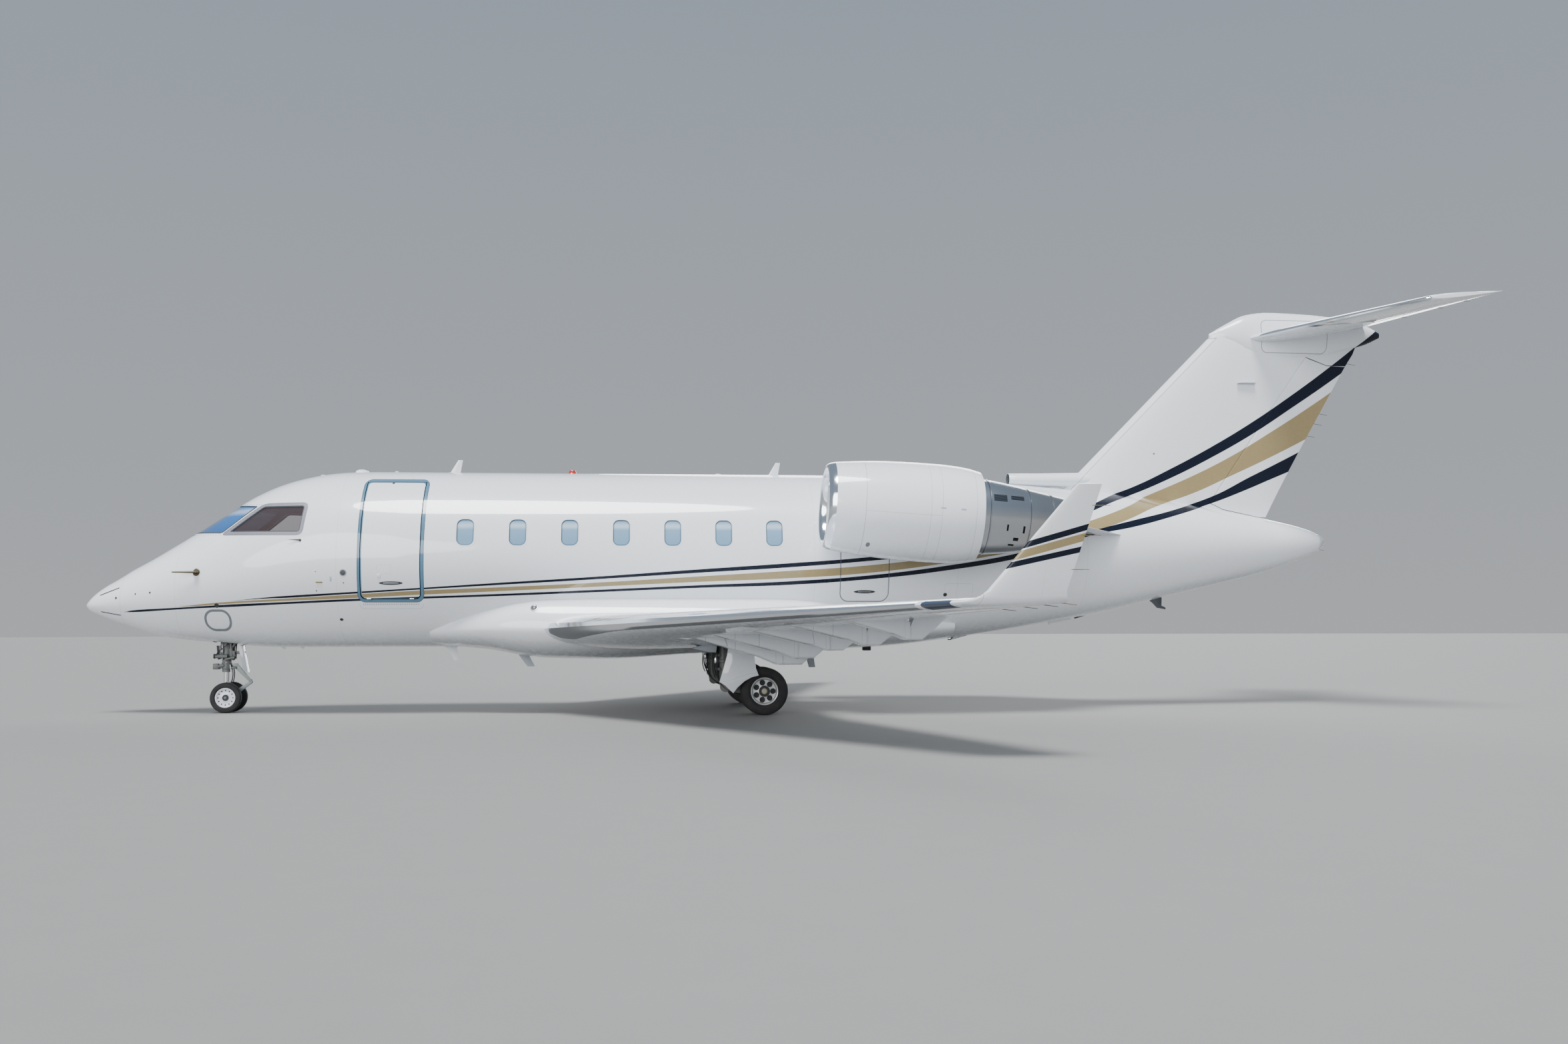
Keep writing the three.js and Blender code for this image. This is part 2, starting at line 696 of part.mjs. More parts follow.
// Fairing over a flap hinge, in the hinge's own frame, as long as the chord there asks.
// What is on the flap swings into the slot in the shell under the wing as the flap comes down.
function hingeFairing(place, depth, chord, half, share) {
  const bottom = -depth;
  const heel = 0.55 * depth;
  const trailing = 0.95 * (1 - share) * chord;
  const plate = (points, reach) => extruded(outline(points), "y", place - reach, place + reach);
  const shell = plate(
    [
      [-0.41 * chord, -20],
      [-0.41 * chord, -0.04 * chord],
      [-0.115 * chord, 0.77 * bottom],
      [-0.027 * chord, bottom],
      [fairingSeam, bottom],
      [fairingSeam, -1.42 * half - 15],
      [-half - 12, -0.75 * half - 10],
      [-half - 12, -20],
    ],
    fairingHalf,
  );
  const slot = plate(
    [
      [0.88 * bottom, -half - 8],
      [0.88 * bottom, bottom - 10],
      [0, bottom - 10],
      [0, -half - 8],
    ],
    fairingHalf - fairingShell,
  );
  const tail = plate(
    [
      [-40, bottom],
      [-40, bottom + 60],
      [20, -half - 40],
      [60, -half / 2],
      [trailing - 10, -3],
      [trailing + 0.03 * chord, -0.01 * chord],
      [heel, bottom],
    ],
    fairingHalf - fairingShell - surfaceGap,
  );
  return { shell: shell.subtract(slot), tail };
}

const legWell = block(9400, 9730, 1470, 1720, 600, 1190);

function buildWings(halves) {
  let wing = spanLoft(wingSections);
  const surfaces = {};
  for (const [name, place] of Object.entries(wingSurfaces)) {
    const { moving, fixed, from, along, hinge } = splitSurface(wing, wingSections, place);
    wing = fixed;
    surfaces[name] = moving;
    for (const [y, depth] of hingeFairings[name] ?? []) {
      const { half } = spanPoint(wingSections, y, place[2]);
      const [, , chord] = straightAt(wingSections, y);
      const { shell, tail } = hingeFairing((y - from.y) / along.y, depth, chord, half, place[2]);
      wing = wing.add(shell.transform(hinge.toArray()));
      surfaces[name] = surfaces[name].add(tail.transform(hinge.toArray()));
    }
  }
  wing = wing.subtract(legWell);
  for (const [word, half] of halves) {
    addPiece("wing_" + word, wing, "white", half);
    for (const [name, surface] of Object.entries(surfaces)) {
      addPiece(name + "_" + word, surface, "white", half);
    }
  }
}

function buildBelly() {
  const wingRoom = spanLoft(wingSections.slice(0, 2), fitGap + 0.2, 0.5);
  const mirrored = wingRoom.mirror([0, 1, 0]);
  const stations = fairingSections.map(([station]) => station);
  const fairing = skin(fairingSections, stations, 5180, 13150, {})
    .subtract(hull(5000, 13400, fitGap))
    .subtract(wingRoom)
    .subtract(mirrored);
  addPiece("belly_fairing", fairing, "white");
}

function buildTail(halves) {
  const tailplaneWhole = spanLoft(tailplaneSections);
  const room = spanLoft(tailplaneSections.slice(0, 2), fitGap);
  const slot = room.add(room.mirror([0, 1, 0]));
  const { moving, fixed, from, along } = splitSurface(tailplaneWhole, tailplaneSections, elevatorSpan);
  addPiece("tailplane", fixed.add(fixed.mirror([0, 1, 0])), "white");
  for (const [word, half] of halves) addPiece("elevator_" + word, moving, "white", half);

  const finBlade = loft(
    finSections.map(([z, x, chord, thick]) => aerofoilRing({ nose: [x, 0, z], chord, thick, upright: true })),
  );
  const scoop = loft(
    [[14212, 3640, 118, 92], [14330, 3630, 150, 105], [15000, 3620, 150, 118], [15700, 3640, 120, 120]].map(
      ([x, z, half, reach]) =>
        Array.from({ length: 8 }, (_, k) => {
          const turn = (Math.PI * (2 * k + 1)) / 8;
          return new THREE.Vector3(x, half * Math.sin(turn), z + reach * Math.cos(turn));
        }),
    ),
  );
  const tipStations = finTipSections.map(([station]) => station);
  const tip = skin(finTipSections, tipStations, 17640, 20580, { sides: 12 });
  const body = union([finBlade, scoop, tip]).subtract(slot);
  const seated = body.subtract(hull(13900, 19510, fitGap));
  const [footX, footZ, headX, headZ] = rudderHinge;
  const foot = [footX, 0, footZ];
  const head = [headX, 0, headZ];
  const axis = new THREE.Vector3(headX - footX, 0, headZ - footZ).normalize();
  const move = (point, distance) => new THREE.Vector3(...point).addScaledVector(axis, distance).toArray();
  const rudderRegion = (gap) => {
    const edge = outline([
      [footX, footZ - gap],
      [headX + gap, headZ + gap],
      [19640, 5570 + gap],
      [20300, 5564 + gap],
      [19200, 2900 - gap],
      [18700, 2995 - gap],
      [17770, 3172 - gap],
    ]);
    const nose = rod(move(foot, -gap), move(head, gap), 104 + gap, 82 + gap, 16);
    return extruded(edge, "y", -500, 500).add(nose);
  };
  const pinAt = (end, out, radius, sides, reach) =>
    rod(move(end, out * 45), move(end, -out * reach), radius, radius, sides);
  let rudder = seated.intersect(rudderRegion(0)).subtract(hull(13900, 19510, surfaceGap));
  let fin = seated.subtract(rudderRegion(surfaceGap + 4));
  for (const [end, out] of [[foot, -1], [head, 1]]) {
    rudder = rudder.subtract(pinAt(end, out, flatsClear(pinRadius + runningGap, 12), 12, pinReach + 5));
    fin = fin.add(pinAt(end, out, pinRadius, 10, pinReach));
  }
  addPiece("fin", fin, "white");
  addPiece("rudder", rudder, "white");
}

function buildEngines(halves) {
  const { sides } = engine;
  const duct = [[505, 110], [566, 520], [566, 800], [612, 1560]];
  const cowlOuter = [[634, 110], [660, 330], [700, 780], [717, 1560]];
  const ring = (outer, inner) => [...outer, ...[...inner].reverse(), outer[0]];
  const shift = (profile, by) => profile.map(([radius, place], i) => [radius, i === 0 ? place + by : place]);
  const lip = turned(ring([[565, 0], [602, 22], [634, 110]], [[532, 18], [505, 110]]), "x", sides);
  const cowl = turned(ring(shift(cowlOuter, fitGap), shift(duct, fitGap)), "x", sides);
  const sleeveRing = turned(
    ring(
      [[717, 1560.3], [700, 1950], [648, 2232]],
      [[612, 1560.3], [636, 2232]],
    ),
    "x",
    sides,
  );
  const coreProfile = [
    [0, 1020], [61, 1020], [61, 900], [300, 900], [450, 1300], [548, 2200], [520, 2560], [345, 3620],
    [320, 3620], [300, 3430], [130, 3430], [0, 3760],
  ];
  const core = turned(coreProfile, "x", sides);
  const ductWall = duct.map(([radius, place]) => [radius - fitGap - 0.2, place]);
  const ductRoom = turned([[0, 110], ...ductWall, [0, 1560]], "x", sides);
  const struts = Array.from({ length: 6 }, (_, i) =>
    block(960, 1080, -12, 12, 350, 640).rotate([60 * i + 30, 0, 0]),
  );
  const coreWithStruts = core.add(union(struts).intersect(ductRoom));
  const hub = turned(
    [[0, 400], [100, 470], [185, 640], [185, 750], [60, 750], [60, 1010], [0, 1010]],
    "x",
    fanBlades,
  );
  const blades = Array.from({ length: fanBlades }, (_, i) => {
    const blade = block(-62, 62, -7, 7, 160, 551).rotate([0, 0, 38]).translate([695, 0, 0]);
    return blade.rotate([(360 * i) / fanBlades, 0, 0]);
  });
  const fan = union([hub, ...blades]);

  // Pylon, along the nacelle's axis
  const tilt = Math.tan(radians(engine.droop));
  const pylonRing = (y, x, chord, thick) =>
    aerofoilRing({
      nose: [x, y, engine.z - (x - engine.x) * tilt],
      chord,
      thick,
      incidence: engine.droop,
    });
  const pylonWhole = loft([pylonRing(900, 11560, 4240, 0.054), pylonRing(engine.y, 11700, 2950, 0.07)]);
  const seat = (shape) => shape.rotate([0, engine.droop, 0]).translate([engine.x, engine.y, engine.z]);
  const cowlFilled = turned(
    [
      [0, 105],
      [634 + fitGap, 105],
      ...cowlOuter.slice(1).map(([radius, place]) => [radius + fitGap, place]),
      [0, 1560 + fitGap],
    ],
    "x",
    sides,
  );
  const coreRoom = turned(
    [
      [0, 880],
      ...coreProfile.slice(3, 8).map(([radius, place]) => [radius + fitGap, place]),
      [345 + fitGap, 3900],
      [0, 3900],
    ],
    "x",
    sides,
  );
  const pylon = pylonWhole
    .subtract(hull(11000, 16600, fitGap))
    .subtract(seat(cowlFilled))
    .subtract(seat(coreRoom));
  const slotHalf = 120;
  const sleeve = sleeveRing.subtract(block(1500, 2400, -900, 0, -slotHalf, slotHalf));

  for (const [word, half] of halves) {
    addPiece("pylon_" + word, pylon, "white", half);
    const nacelle = new THREE.Group();
    nacelle.position.set(engine.x, engine.y, engine.z);
    nacelle.rotation.y = radians(engine.droop);
    half.add(nacelle);
    addPiece("inlet_lip_" + word, lip, "polished", nacelle);
    addPiece("fan_cowl_" + word, cowl, "white", nacelle);
    addPiece("reverser_sleeve_" + word, sleeve, "white", nacelle);
    addPiece("engine_" + word, coreWithStruts, "hotMetal", nacelle);
    addPiece("fan_" + word, fan, "dark", nacelle);
  }
}

// A pair of wheels on one axle along y, from its middle
function wheelPair(size, names, parent, sides) {
  const { width, rim, spread, axle } = size;
  const radius = flatsClear(size.radius, sides);
  const half = [[0, 0.42], [0.33, 0.42], [0.86, 0.22], [1, 0.36], [1, -0.36], [axle / rim, -0.36]];
  const profile = half.map(([r, y]) => [r * rim, spread + y * width]);
  const mirror = profile.map(([r, y]) => [r, -y]).reverse();
  const rims = turned([...profile, ...mirror], "y", sides);
  const bead = rim + fitGap;
  const tyreProfile = [
    [bead, -0.4], [radius - 0.28 * width, -0.48], [radius, -0.27], [radius, 0.27],
    [radius - 0.28 * width, 0.48], [bead, 0.4],
  ];
  const closed = [...tyreProfile, tyreProfile[0]].map(([r, y]) => [r, y * width]);
  const tyre = turned(closed, "y", sides);
  const wheels = new THREE.Group();
  wheels.position.set(size.x, size.y, size.radius);
  parent.add(wheels);
  addPiece(names.rims, rims, "rim", wheels);
  addPiece(names.outer, tyre.translate([0, spread, 0]), "tyre", wheels);
  addPiece(names.inner, tyre.translate([0, -spread, 0]), "tyre", wheels);
}

const mainLeg = { x: 9500, top: 1189.7, pivotZ: 400, tyreSides: 20 };

function buildMainGear(halves) {
  const { y, x, radius, axle } = mainWheel;
  const boreRadius = flatsClear(axle + runningGap, 24);
  const post = rod([mainLeg.x, y, mainLeg.top], [mainLeg.x + 30, y, 420], 78, 70);
  const pivot = rod([mainLeg.x + 40, y - 85, mainLeg.pivotZ], [mainLeg.x + 40, y + 85, mainLeg.pivotZ], 72);
  const arm = extruded(
    outline([
      [mainLeg.x + 20, 340], [x + 40, radius - 78], [x + 84, radius],
      [x + 40, radius + 78], [mainLeg.x + 40, 470],
    ]),
    "y",
    y - 62,
    y + 62,
  );
  const damper = union([
    rod([9900, y, 400], [9760, y, 700], 36),
    rod([9800, y, 620], [mainLeg.x + 40, y, 1060], 52),
  ]);
  const brackets = [[960, 34], [560, 30]].map(([z, half]) =>
    block(mainLeg.x - 10, mainLeg.x + 60, y, 1945, z - half, z + half),
  );
  const doorPanel = extruded(
    outline([
      [9572, 1046], [9545, 860], [9436, 482], [9520, 428], [9636, 322], [9700, 404], [9800, 492], [9900, 546],
      [10004, 572], [9962, 680], [9944, 815], [9936, 1036],
    ]),
    "y",
    1935,
    1961,
  );
  const bore = rod([x, y - 200, radius], [x, y + 200, radius], boreRadius, boreRadius, 24);
  const wingRoom = spanLoft(wingSections.slice(0, 2), fitGap);
  const leg = union([post, pivot, arm, damper, ...brackets, doorPanel])
    .subtract(bore)
    .subtract(wingRoom.subtract(legWell));
  for (const [word, half] of halves) {
    addPiece("main_leg_" + word, leg, "gear", half);
    const names = {
      rims: "main_wheels_" + word,
      outer: "main_tyre_" + word + "_outer",
      inner: "main_tyre_" + word + "_inner",
    };
    wheelPair(mainWheel, names, half, mainLeg.tyreSides);
  }
}

const noseLeg = { x: 2060, top: 1289.7, bottom: 760, piston: 44, sides: 16 };

function buildNoseGear() {
  const { x, top, bottom, piston, sides } = noseLeg;
  const bore = flatsClear(piston + runningGap, 24);
  const socket = rod([x, 0, bottom - 1], [x, 0, 1000], bore, bore, 24);
  const brace = rod([x, 0, 900], [x - 130, 0, 1270], 30);
  const strip = extruded(outline([[2290, 1010], [2304, 1010], [2390, 606], [2376, 606]]), "y", -80, 80);
  const stripArm = block(x, 2330, -22, 22, 880, 925);
  const frontDoor = extruded(outline([[1925, 1010], [1939, 1010], [1962, 800], [1948, 800]]), "y", -95, 95);
  const doorArm = block(1945, x, -18, 18, 830, 860);
  const leg = union([rod([x, 0, top], [x, 0, bottom], 64), brace, strip, stripArm, frontDoor, doorArm])
    .subtract(socket)
    .subtract(hull(1600, 2800, fitGap).subtract(block(1890, 2330, -190, 190, 800, 1290)));
  addPiece("nose_leg", leg, "gear");

  const axleHeight = noseWheel.radius;
  const boreRadius = flatsClear(noseWheel.axle + runningGap, 24);
  const torqueLink = [
    [x + 130, 735], [x + 172, 735], [x + 172, 690],
    [x + 60, 455], [x + 20, 455], [x + 20, 490],
  ];
  const axleFork = [
    [x - 46, 420], [x + 46, 420], [noseWheel.x + 50, axleHeight],
    [noseWheel.x, axleHeight - 48], [x - 30, axleHeight - 20],
  ];
  const steered = union([
    rod([x, 0, 985], [x, 0, 300], piston, piston, sides),
    rod([x, 0, bottom - runningGap], [x, 0, 650], 76, 76, sides),
    block(x + 40, x + 170, -24, 24, 690, 735),
    extruded(outline(torqueLink), "y", -18, 18),
    extruded(outline(axleFork), "y", -46, 46),
  ]).subtract(
    rod([noseWheel.x, -80, axleHeight], [noseWheel.x, 80, axleHeight], boreRadius, boreRadius, 24),
  );
  addPiece("nose_fork", steered, "gear");
  wheelPair(noseWheel, { rims: "nose_wheels", outer: "nose_tyre_right", inner: "nose_tyre_left" }, aircraft, 18);
}

const starboard = new THREE.Group();
const port = new THREE.Group();
port.scale.y = -1;
aircraft.add(starboard, port);
const halves = [["right", starboard], ["left", port]];

buildFuselage();
buildDoor();
buildInterior();
buildWings(halves);
buildBelly();
buildTail(halves);
buildEngines(halves);
buildMainGear(halves);
buildNoseGear();

export default aircraft;
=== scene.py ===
import math

import bmesh
import bpy
from mathutils import Matrix, Vector


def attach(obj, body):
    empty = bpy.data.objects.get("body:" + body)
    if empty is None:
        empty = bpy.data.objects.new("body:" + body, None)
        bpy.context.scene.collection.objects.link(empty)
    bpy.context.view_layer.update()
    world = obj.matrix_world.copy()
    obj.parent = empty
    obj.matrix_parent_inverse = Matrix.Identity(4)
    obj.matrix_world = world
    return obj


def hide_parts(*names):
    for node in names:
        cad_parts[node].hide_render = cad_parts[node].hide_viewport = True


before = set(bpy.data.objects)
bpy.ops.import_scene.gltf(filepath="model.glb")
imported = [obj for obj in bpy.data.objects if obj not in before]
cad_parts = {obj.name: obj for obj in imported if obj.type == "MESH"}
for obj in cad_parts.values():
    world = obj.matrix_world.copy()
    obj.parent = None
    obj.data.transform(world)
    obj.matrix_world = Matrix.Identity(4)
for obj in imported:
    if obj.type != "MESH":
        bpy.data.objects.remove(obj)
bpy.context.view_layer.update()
midpoint = 10.425  # station of the frame's origin

# Shader expressions


class Value:
    def __init__(self, shader, link):
        self.shader = shader
        self.link = link

    def math(self, operation, *others, clamp=False):
        values = dict(enumerate((self, *others)))
        return self.shader.node("Math", {"operation": operation, "use_clamp": clamp}, values)

    def __add__(self, other):
        return self.math("ADD", other)

    def __sub__(self, other):
        return self.math("SUBTRACT", other)

    def __rsub__(self, other):
        return self.shader.node("Math", {"operation": "SUBTRACT"}, {0: other, 1: self})

    def __mul__(self, other):
        return self.math("MULTIPLY", other)

    def __truediv__(self, other):
        return self.math("DIVIDE", other)

    def __abs__(self):
        return self.math("ABSOLUTE")

    __radd__ = __add__
    __rmul__ = __mul__

    def above(self, edge, soft=0.003):  # 1 where the value is over the edge
        return ((self - edge) / soft).math("ADD", 0.5, clamp=True)

    def between(self, low, high, soft=0.003):
        return self.above(low, soft) * (1 - self.above(high, soft))

    def line(self, place, half, soft=0.0012):
        return 1 - abs(self - place).above(half, soft)

    def lines(self, places, half):
        first, *others = [self.line(place, half) for place in places]
        return first.either(*others)

    def either(self, *others):
        value = self
        for other in others:
            value = value.math("MAXIMUM", other)
        return value

    def positive(self):
        return self.math("MAXIMUM", 0.0)

    def share(self):  # held between 0 and 1
        return self.math("MULTIPLY", 1.0, clamp=True)

    def cycle(self):
        return self.math("FRACT")

    def power(self, exponent):
        return self.math("POWER", exponent)


def distance(first, second):
    return (first.power(2.0) + second.power(2.0)).math("SQRT")


class Shader:
    def __init__(self, name, **constants):
        self.material = bpy.data.materials.new(name)
        self.material.use_nodes = True
        self.tree = self.material.node_tree
        self.surface = self.tree.nodes["Principled BSDF"]
        for key, value in constants.items():
            self.surface.inputs[key.replace("_", " ")].default_value = value
        self.coords = self.node("TexCoord", output="Object")
        self.axes = {}

    def node(self, kind, settings=None, values=None, output=0):
        made = self.tree.nodes.new("ShaderNode" + kind)
        for key, value in (settings or {}).items():
            if key == "curve":
                points = made.mapping.curves[0].points
                while len(points) < len(value):
                    points.new(0.5, 0.5)
                for point, place in zip(points, value):
                    point.location = place
                made.mapping.update()
            else:
                setattr(made, key, value)
        for key, value in (values or {}).items():
            self.put(value, made.inputs[key])
        return Value(self, made.outputs[output])

    def put(self, value, socket):
        if isinstance(value, Value):
            self.tree.links.new(value.link, socket)
        elif isinstance(value, tuple) and len(value) == 3 and socket.type == "RGBA":
            socket.default_value = (*value, 1)
        else:
            socket.default_value = value

    def axis(self, name):
        if not self.axes:
            for letter in "XYZ":
                self.axes[letter] = self.node("SeparateXYZ", None, {0: self.coords}, letter)
            self.axes["X"] = self.axes["X"] + midpoint
        return self.axes[name]

    def noise(self, scale, detail=3.0, stretch=None):
        where = self.coords
        if stretch:
            where = self.node("Mapping", None, {"Vector": self.coords, "Scale": stretch})
        return self.node("TexNoise", None, {"Vector": where, "Scale": scale, "Detail": detail})

    def mix(self, factor, first, second):
        return self.node("Mix", {"data_type": "RGBA"}, {0: factor, 6: first, 7: second}, 2)

    def bump(self, height, strength, reach=0.002):
        return self.node("Bump", None, {"Height": height, "Strength": strength, "Distance": reach})

    def curve(self, place, points):  # height in metres along the stations
        longest, highest = 21, 7
        scaled = [(x / longest, z / highest) for x, z in points]
        return self.node("FloatCurve", {"curve": scaled}, {"Value": place / longest}) * float(highest)

    def fromOutline(self, across, up, half, tall, corner):  # distance to a rounded outline, negative inside it
        across = abs(across) - (half - corner)
        up = abs(up) - (tall - corner)
        inside = across.either(up).math("MINIMUM", 0.0)
        return distance(across.positive(), up.positive()) + inside - corner

    def fromBox(self, box):  # the same, round stations and heights
        x0, x1, z0, z1, corner = box
        across = self.axis("X") - (x0 + x1) / 2
        up = self.axis("Z") - (z0 + z1) / 2
        return self.fromOutline(across, up, (x1 - x0) / 2, (z1 - z0) / 2, corner)

    def side(self, way):  # 1 on one side of the aircraft
        return (self.axis("Y") * way).above(0.0)

    def feed(self, **values):
        for key, value in values.items():
            self.put(value, self.surface.inputs[key.replace("_", " ")])
        return self.material


def shaded(color, share):
    return tuple(c * share for c in color)


# Paint, metal and glass

colors = {
    "white": (0.80, 0.83, 0.87), "shadedWhite": (0.78, 0.81, 0.85), "black": (0.006, 0.009, 0.02),
    "gold": (0.30, 0.235, 0.115), "dust": (0.62, 0.61, 0.58), "seam": (0.05, 0.065, 0.085),
    "door": (0.085, 0.185, 0.275), "doorEdge": (0.03, 0.045, 0.06), "bareEdge": (0.72, 0.75, 0.79),
    # the glass's painted highlight colour and the painted shade round the cabin panes follow
    "heat": (0.42, 0.34, 0.27), "slot": (0.02, 0.022, 0.026), "paintedSheen": (0.72, 0.82, 0.92),
    "paneEdgeShade": (0.035, 0.07, 0.115),
}
stripeEdges = {  # station, top and bottom of each painted stripe
    "upperBlack": [
        (2.35, 1.668, 1.665), (2.6, 1.694, 1.685), (2.9, 1.722, 1.702), (3.07, 1.735, 1.706), (4.04, 1.79, 1.761),
        (5.0, 1.846, 1.822), (6.34, 1.932, 1.902), (7.5, 2.004, 1.971), (9.27, 2.129, 2.085), (10.46, 2.21, 2.158),
        (11.66, 2.302, 2.255), (12.9, 2.447, 2.392), (14.2, 2.742, 2.672), (15.2, 3.102, 3.017),
        (15.8, 3.351, 3.254), (16.23, 3.509, 3.401), (16.91, 3.83, 3.688), (17.59, 4.186, 4.022),
        (18.28, 4.589, 4.402), (18.97, 5.039, 4.84), (19.68, 5.539, 5.305), (20.2, 5.93, 5.67),
    ],
    "gold": [
        (1.55, 1.597, 1.592), (1.78, 1.612, 1.594), (1.875, 1.623, 1.599), (2.37, 1.66, 1.631), (3.06, 1.696, 1.663),
        (4.03, 1.751, 1.7), (4.99, 1.808, 1.747), (6.34, 1.866, 1.808), (7.5, 1.921, 1.861), (9.27, 2.028, 1.945),
        (10.46, 2.102, 1.992), (11.67, 2.185, 2.071), (12.9, 2.335, 2.225), (14.2, 2.592, 2.452),
        (15.2, 2.882, 2.707), (15.9, 3.127, 2.929), (16.41, 3.351, 3.141), (17.24, 3.702, 3.418),
        (17.92, 4.036, 3.718), (18.61, 4.438, 4.031), (19.32, 4.878, 4.38), (20.0, 5.33, 4.74),
    ],
    "lowerBlack": [
        (0.7, 1.524, 1.512), (0.83, 1.541, 1.512), (1.36, 1.567, 1.538), (1.87, 1.594, 1.565), (2.37, 1.621, 1.583),
        (3.06, 1.648, 1.616), (4.03, 1.691, 1.657), (4.99, 1.721, 1.691), (6.335, 1.767, 1.738), (7.5, 1.815, 1.785),
        (9.27, 1.893, 1.86), (10.46, 1.943, 1.899), (11.67, 2.029, 1.982), (12.9, 2.18, 2.12), (14.16, 2.405, 2.339),
        (15.29, 2.741, 2.685), (15.99, 2.918, 2.823), (16.71, 3.094, 3.009), (17.57, 3.366, 3.268),
        (18.25, 3.699, 3.524), (18.6, 3.866, 3.669), (19.4, 4.26, 3.99),
    ],
}
wingletBands = {  # rise aft, and top and bottom at the first station
    "first": 12.13, "inboard": 9.46, "gold": (0.275, 2.055, 1.98),
    "black": [(0.286, 2.129, 2.071), (0.22, 1.952, 1.897)],
}


def stripeMask(s, name):
    x, z = s.axis("X"), s.axis("Z")
    rows = stripeEdges[name]
    widen = [0.0 if name == "gold" else 0.006 * min(1, max(0, (row[0] - 4) / 7)) for row in rows]
    top = s.curve(x, [(place, high + more) for (place, high, low), more in zip(rows, widen)])
    bottom = s.curve(x, [(place, low - more) for (place, high, low), more in zip(rows, widen)])
    return (top - z).above(0.0) * (z - bottom).above(0.0) * x.above(rows[0][0], 0.12)


def bodyStripes(s):  # where it is black, and where gold
    return stripeMask(s, "upperBlack").either(stripeMask(s, "lowerBlack")), stripeMask(s, "gold")


def tipStripes(s):
    def band(rise, high, low):
        return (s.axis("Z") - (s.axis("X") - wingletBands["first"]) * rise).between(low, high)

    tips = abs(s.axis("Y")).above(wingletBands["inboard"])
    upper, lower = [band(*row) for row in wingletBands["black"]]
    return upper.either(lower) * tips, band(*wingletBands["gold"]) * tips


def gloss(name, color, seams=None, stripes=None, metal=None, band=None):
    coat = 0.8
    s = Shader(name, Coat_Weight=coat, Coat_Roughness=0.04, Specular_IOR_Level=0.2)
    haze = s.noise(0.7, 2.0)
    dust = s.noise(9.0, 5.0)
    tone = s.mix(haze * 0.22, color, (*shaded(color[:2], 0.94), color[2]))
    tone = s.mix(dust.power(3.0) * 0.16, tone, colors["dust"])
    rough = 0.2 + dust * 0.14
    if stripes:
        black, gold = stripes(s)
        tone = s.mix(black, s.mix(gold, tone, colors["gold"]), colors["black"])
        s.feed(Coat_Weight=coat - black * 0.72)
    if band:
        mask, edges = band(s)
        tone = s.mix(edges, s.mix(mask, tone, colors["door"]), colors["doorEdge"])
    height = s.noise(160.0, 2.0) * 0.02
    if seams:
        groove = seams(s)
        tone = s.mix(groove * 0.85, tone, colors["seam"])
        height = height - groove * 0.6
    s.feed(Normal=s.bump(height, 0.35, 0.003))
    if metal:
        mask = metal(s)
        s.feed(Metallic=mask * 0.95)
        rough = rough - mask * 0.13
        tone = s.mix(mask, tone, colors["bareEdge"])
    return s.feed(Base_Color=tone, Roughness=rough)


def bareMetal(name, color, roughness, brush=(1, 1, 1), spread=0.12, heat=None, slots=None):
    s = Shader(name, Metallic=1.0)
    grain = s.noise(60.0, 4.0, brush)
    smears = s.noise(2.4, 4.0)
    tone = s.mix(smears * 0.5, color, shaded(color, 0.72))
    if heat:
        along = (s.axis("X") - heat[0]) / (heat[1] - heat[0])
        tone = s.mix(along.share() * (0.4 + smears * 0.6), tone, colors["heat"])
    height = grain
    if slots:
        mask = slots(s)
        tone = s.mix(mask, tone, colors["slot"])
        height = grain - mask * 3.0
    rough = roughness + (grain - 0.5) * spread + smears * 0.06
    return s.feed(Base_Color=tone, Roughness=rough, Normal=s.bump(height, 0.12, 0.0015))


def dull(name, color, roughness, scale, dirt, amount, depth, metallic=0.0):
    s = Shader(name, Metallic=metallic)
    grain = s.noise(scale, 5.0)
    blotch = s.noise(scale / 12, 4.0)
    tone = s.mix(blotch.power(2.0) * amount * 2, color, dirt)
    rough = roughness + (grain - 0.5) * 0.2
    return s.feed(Base_Color=tone, Roughness=rough, Normal=s.bump(grain, depth, 0.001))


def glass(name, low, high, levels, alpha, edge=None):  # its colour climbs from one level to the other, lighter higher up as a painted sky reflection
    s = Shader(name, Coat_Weight=1.0, Coat_Roughness=0.02, IOR=1.5)
    climb = (s.axis("Z") - levels[0]) / (levels[1] - levels[0])
    # a painted highlight band across the upper part of the glass
    paintedSheen = climb.between(0.66, 0.84, 0.12)
    # painted reflection: lighter towards the top
    tone = s.mix(climb.share(), low, high)
    tone = s.mix(paintedSheen * 0.55, tone, colors["paintedSheen"])
    streak = s.noise(5.0, 3.0, (1, 1, 8))
    tone = s.mix(streak * 0.3, tone, shaded(low, 0.8))
    cover = alpha + paintedSheen * 0.08
    # painted shade round the pane's border, where the glass meets its recess
    if edge:
        shade = edge(s)
        tone = s.mix(shade * 0.8, tone, colors["paneEdgeShade"])
        cover = cover.either(shade * 0.97)
    return s.feed(Base_Color=tone, Roughness=0.05 + streak * 0.05, Alpha=cover)


# Seams and other lines, as masks

